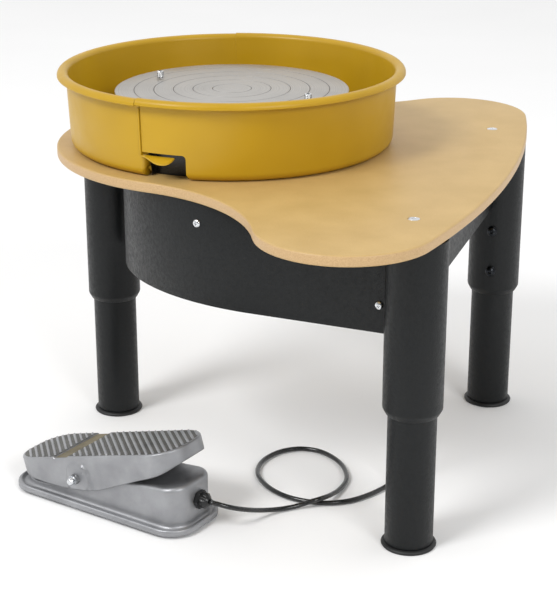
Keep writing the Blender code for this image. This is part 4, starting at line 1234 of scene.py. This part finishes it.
def base_mesh():
    """From inside the roof, down the inner wall, round the flange's bead and up over the crown."""
    wall, low = 0.004, 0.0035
    flange = plan(-PEDAL_END, PEDAL_END, FLANGE_HALF, 0.032, 0.035)
    outer = base_outline(0.0)
    inner = base_outline(wall)
    rings = [crown_ring(base_outline, wall, wall)]
    rings.append([(*p, low + 0.004) for p in inner])
    rings.append([(*p, low) for p in inner])
    bead = [
        (0.05, 0.0035), (0.0, 0.0041), (0.0, 0.0088), (0.03, 0.0102), (0.10, 0.0111), (0.20, 0.0115),
        (0.30, 0.0111), (0.40, 0.0099), (0.50, 0.0086), (0.62, 0.0080), (0.76, 0.0083), (0.88, 0.0094),
        (0.96, 0.0112), (1.0, 0.0140),
    ]
    for share, z in bead:
        rings.append([(*p.lerp(q, share), z) for p, q in zip(flange, outer)])
    soft = 0.0062
    for k in range(6):
        a = math.pi / 2 * k / 5
        ring = crown_ring(base_outline, soft * (1 - math.cos(a)), soft * (1 - math.sin(a)))
        rings.append([(x, y, max(z, 0.0145 + 0.0005 * k)) for x, y, z in ring])
    return lofted(rings)


def make_pedal():
    pivot = PEDAL @ Matrix.Translation((PIVOT_X, 0, PIVOT_Z))
    slot = slab(box_outline(0.006, -0.005, 0.054, 0.005, 0.001), 0.040, 0.070, 0.0003, 1)
    soft = 50.0
    piece("pedal_casting", base_mesh(), "silver_paint", "frame", ["pedal_base"], PEDAL, [slot], soft)
    piece("treadle_plate", treadle_mesh(), "silver_paint", "treadle", ["pedal_treadle"], pivot, crease=soft)
    # Darker cast aluminium between the bars: painted shade in the grooves.
    piece("treadle_painted_shade", shade_ground_mesh(), "cast_aluminium", "treadle", [], pivot, crease=soft)
    piece("treadle_ribs", ribs_mesh(), "silver_paint", "treadle", [], pivot, crease=soft)
    band = piece("treadle_band", band_mesh(), "cast_aluminium", "treadle", [], pivot, crease=soft)
    band.data.materials[0] = cast_look("worn_band", srgb(112, 104, 84), srgb(152, 143, 118), 0.6, 0.0012)
    make_pivot(pivot)
    make_pedal_underside()
    make_pedal_gland()


def make_pivot(pivot):
    reach = TREADLE_HALF + 0.0005
    near = pivot @ facing((0, -reach, 0), (0, -1, 0))
    far = pivot @ facing((0, reach, 0), (0, 1, 0))
    bolt = [(0, 0.0002), (0.0040, 0.0002), (0.0040, -2 * reach - 0.010, 0.0006), (0, -2 * reach - 0.010)]
    head = turned(bolt, 32)
    merge(head, hex_body(0.0066, 0.0, 0.0048))
    piece("pivot_bolt_shank", head, "zinc", "frame", ["pivot_bolt"], far)
    nut = hex_body(0.0066, 0.0001, 0.0050)
    piece("pivot_hex_nut", nut, "steel", "frame", ["pivot_nut"], near)
    cap = hex_body(0.0062, 0.0054, 0.0090)
    dome = [
        (0, 0.0150), (0.0034, 0.0146, 0.002), (0.0050, 0.0115, 0.002), (0.0054, 0.0088, 0.001), (0, 0.0088),
    ]
    merge(cap, turned(dome, 48))
    piece("pivot_acorn_nut", cap, "zinc", "frame", ["pivot_cap_nut"], near)


def hex_body(radius, low, high, chamfer=0.0007):
    """A hexagon with its corners turned off at both ends."""
    sides = 48
    rings = []
    rise = chamfer * 0.6
    inside = radius - chamfer
    for z, limit in ((low, inside), (low + rise, radius), (high - rise, radius), (high, inside)):
        ring = []
        for i in range(sides):
            a = 360.0 * i / sides
            flat = radius * math.cos(math.pi / 6) / math.cos(math.radians(a % 60.0 - 30.0))
            ring.append((*on_circle((0, 0), min(flat, limit), a), z))
        rings.append(ring)
    return closed_skin(rings)


def make_pedal_underside():
    gap = 0.0135 + GAP
    end = PEDAL_END - gap
    outline = without_repeats(plan(-end, end, BASE_HALF - 0.004 - GAP, 0.0256, 0.0216)[::-1])
    plate = slab(outline, 0.0040, 0.0065, 0.0005, 2)
    piece("pedal_floor_plate", plate, "steel", "frame", ["pedal_bottom_plate"], PEDAL)
    foot = [
        (0, 0.0), (0.0078, 0.0, 0.0006), (0.0085, 0.0036, 0.0008), (0.0030, 0.0036),
        (0.0030, 0.0098, 0.0005), (0, 0.0098),
    ]
    for i in range(1, 5):
        name = f"pedal_foot_{i}"
        piece(f"pedal_bumper_{i}", turned(foot, 48), "rubber", "frame", [name], axis_at(name))


def make_pedal_gland():
    """A hexagonal body, a domed nut with ribs, and a short taper where the cord leaves."""
    place = PEDAL @ facing((PEDAL_END - 0.0095, 0.002, 0.036), (1, 0, 0))
    bore = CORD_R + 0.0001
    body = turned([(bore, -0.012), (0.0062, -0.012), (0.0062, 0.001), (bore, 0.001)], 48, ring=True)
    merge(body, hex_body(0.0118, 0.0004, 0.0060))
    nut = [
        (bore, 0.0056), (0.0098, 0.0056, 0.0004), (0.0100, 0.0112, 0.0022), (0.0066, 0.0142, 0.0016),
        (0.0045, 0.0164, 0.0006), (bore, 0.0164),
    ]
    dome = turned(nut, 96, ring=True)
    for vertex in dome.verts:
        r = vertex.co.xy.length
        if r > 0.0075 and vertex.co.z > 0.006:
            a = math.atan2(vertex.co.y, vertex.co.x)
            vertex.co.xy *= 1 - 0.0004 / r * (1 + math.cos(12 * a))
    merge(body, dome)
    piece("pedal_cable_gland", body, "black_plastic", "frame", ["pedal_gland"], place)


# ---- Everything in its order --------------------------------------------------------------
make_camera()
make_stage()
make_cord()
make_table()
make_panels()
make_legs()
make_wheel()
make_pan()
make_pedal()

KEPT_LOOKS = {slot["node"]: slot["material_slot"] for slot in frame["record"]["subparts"]}
for name, obj in frame["nodes"].items():
    if not obj.hide_render:
        obj.data.materials.clear()
        obj.data.materials.append(LOOKS[KEPT_LOOKS[name]])
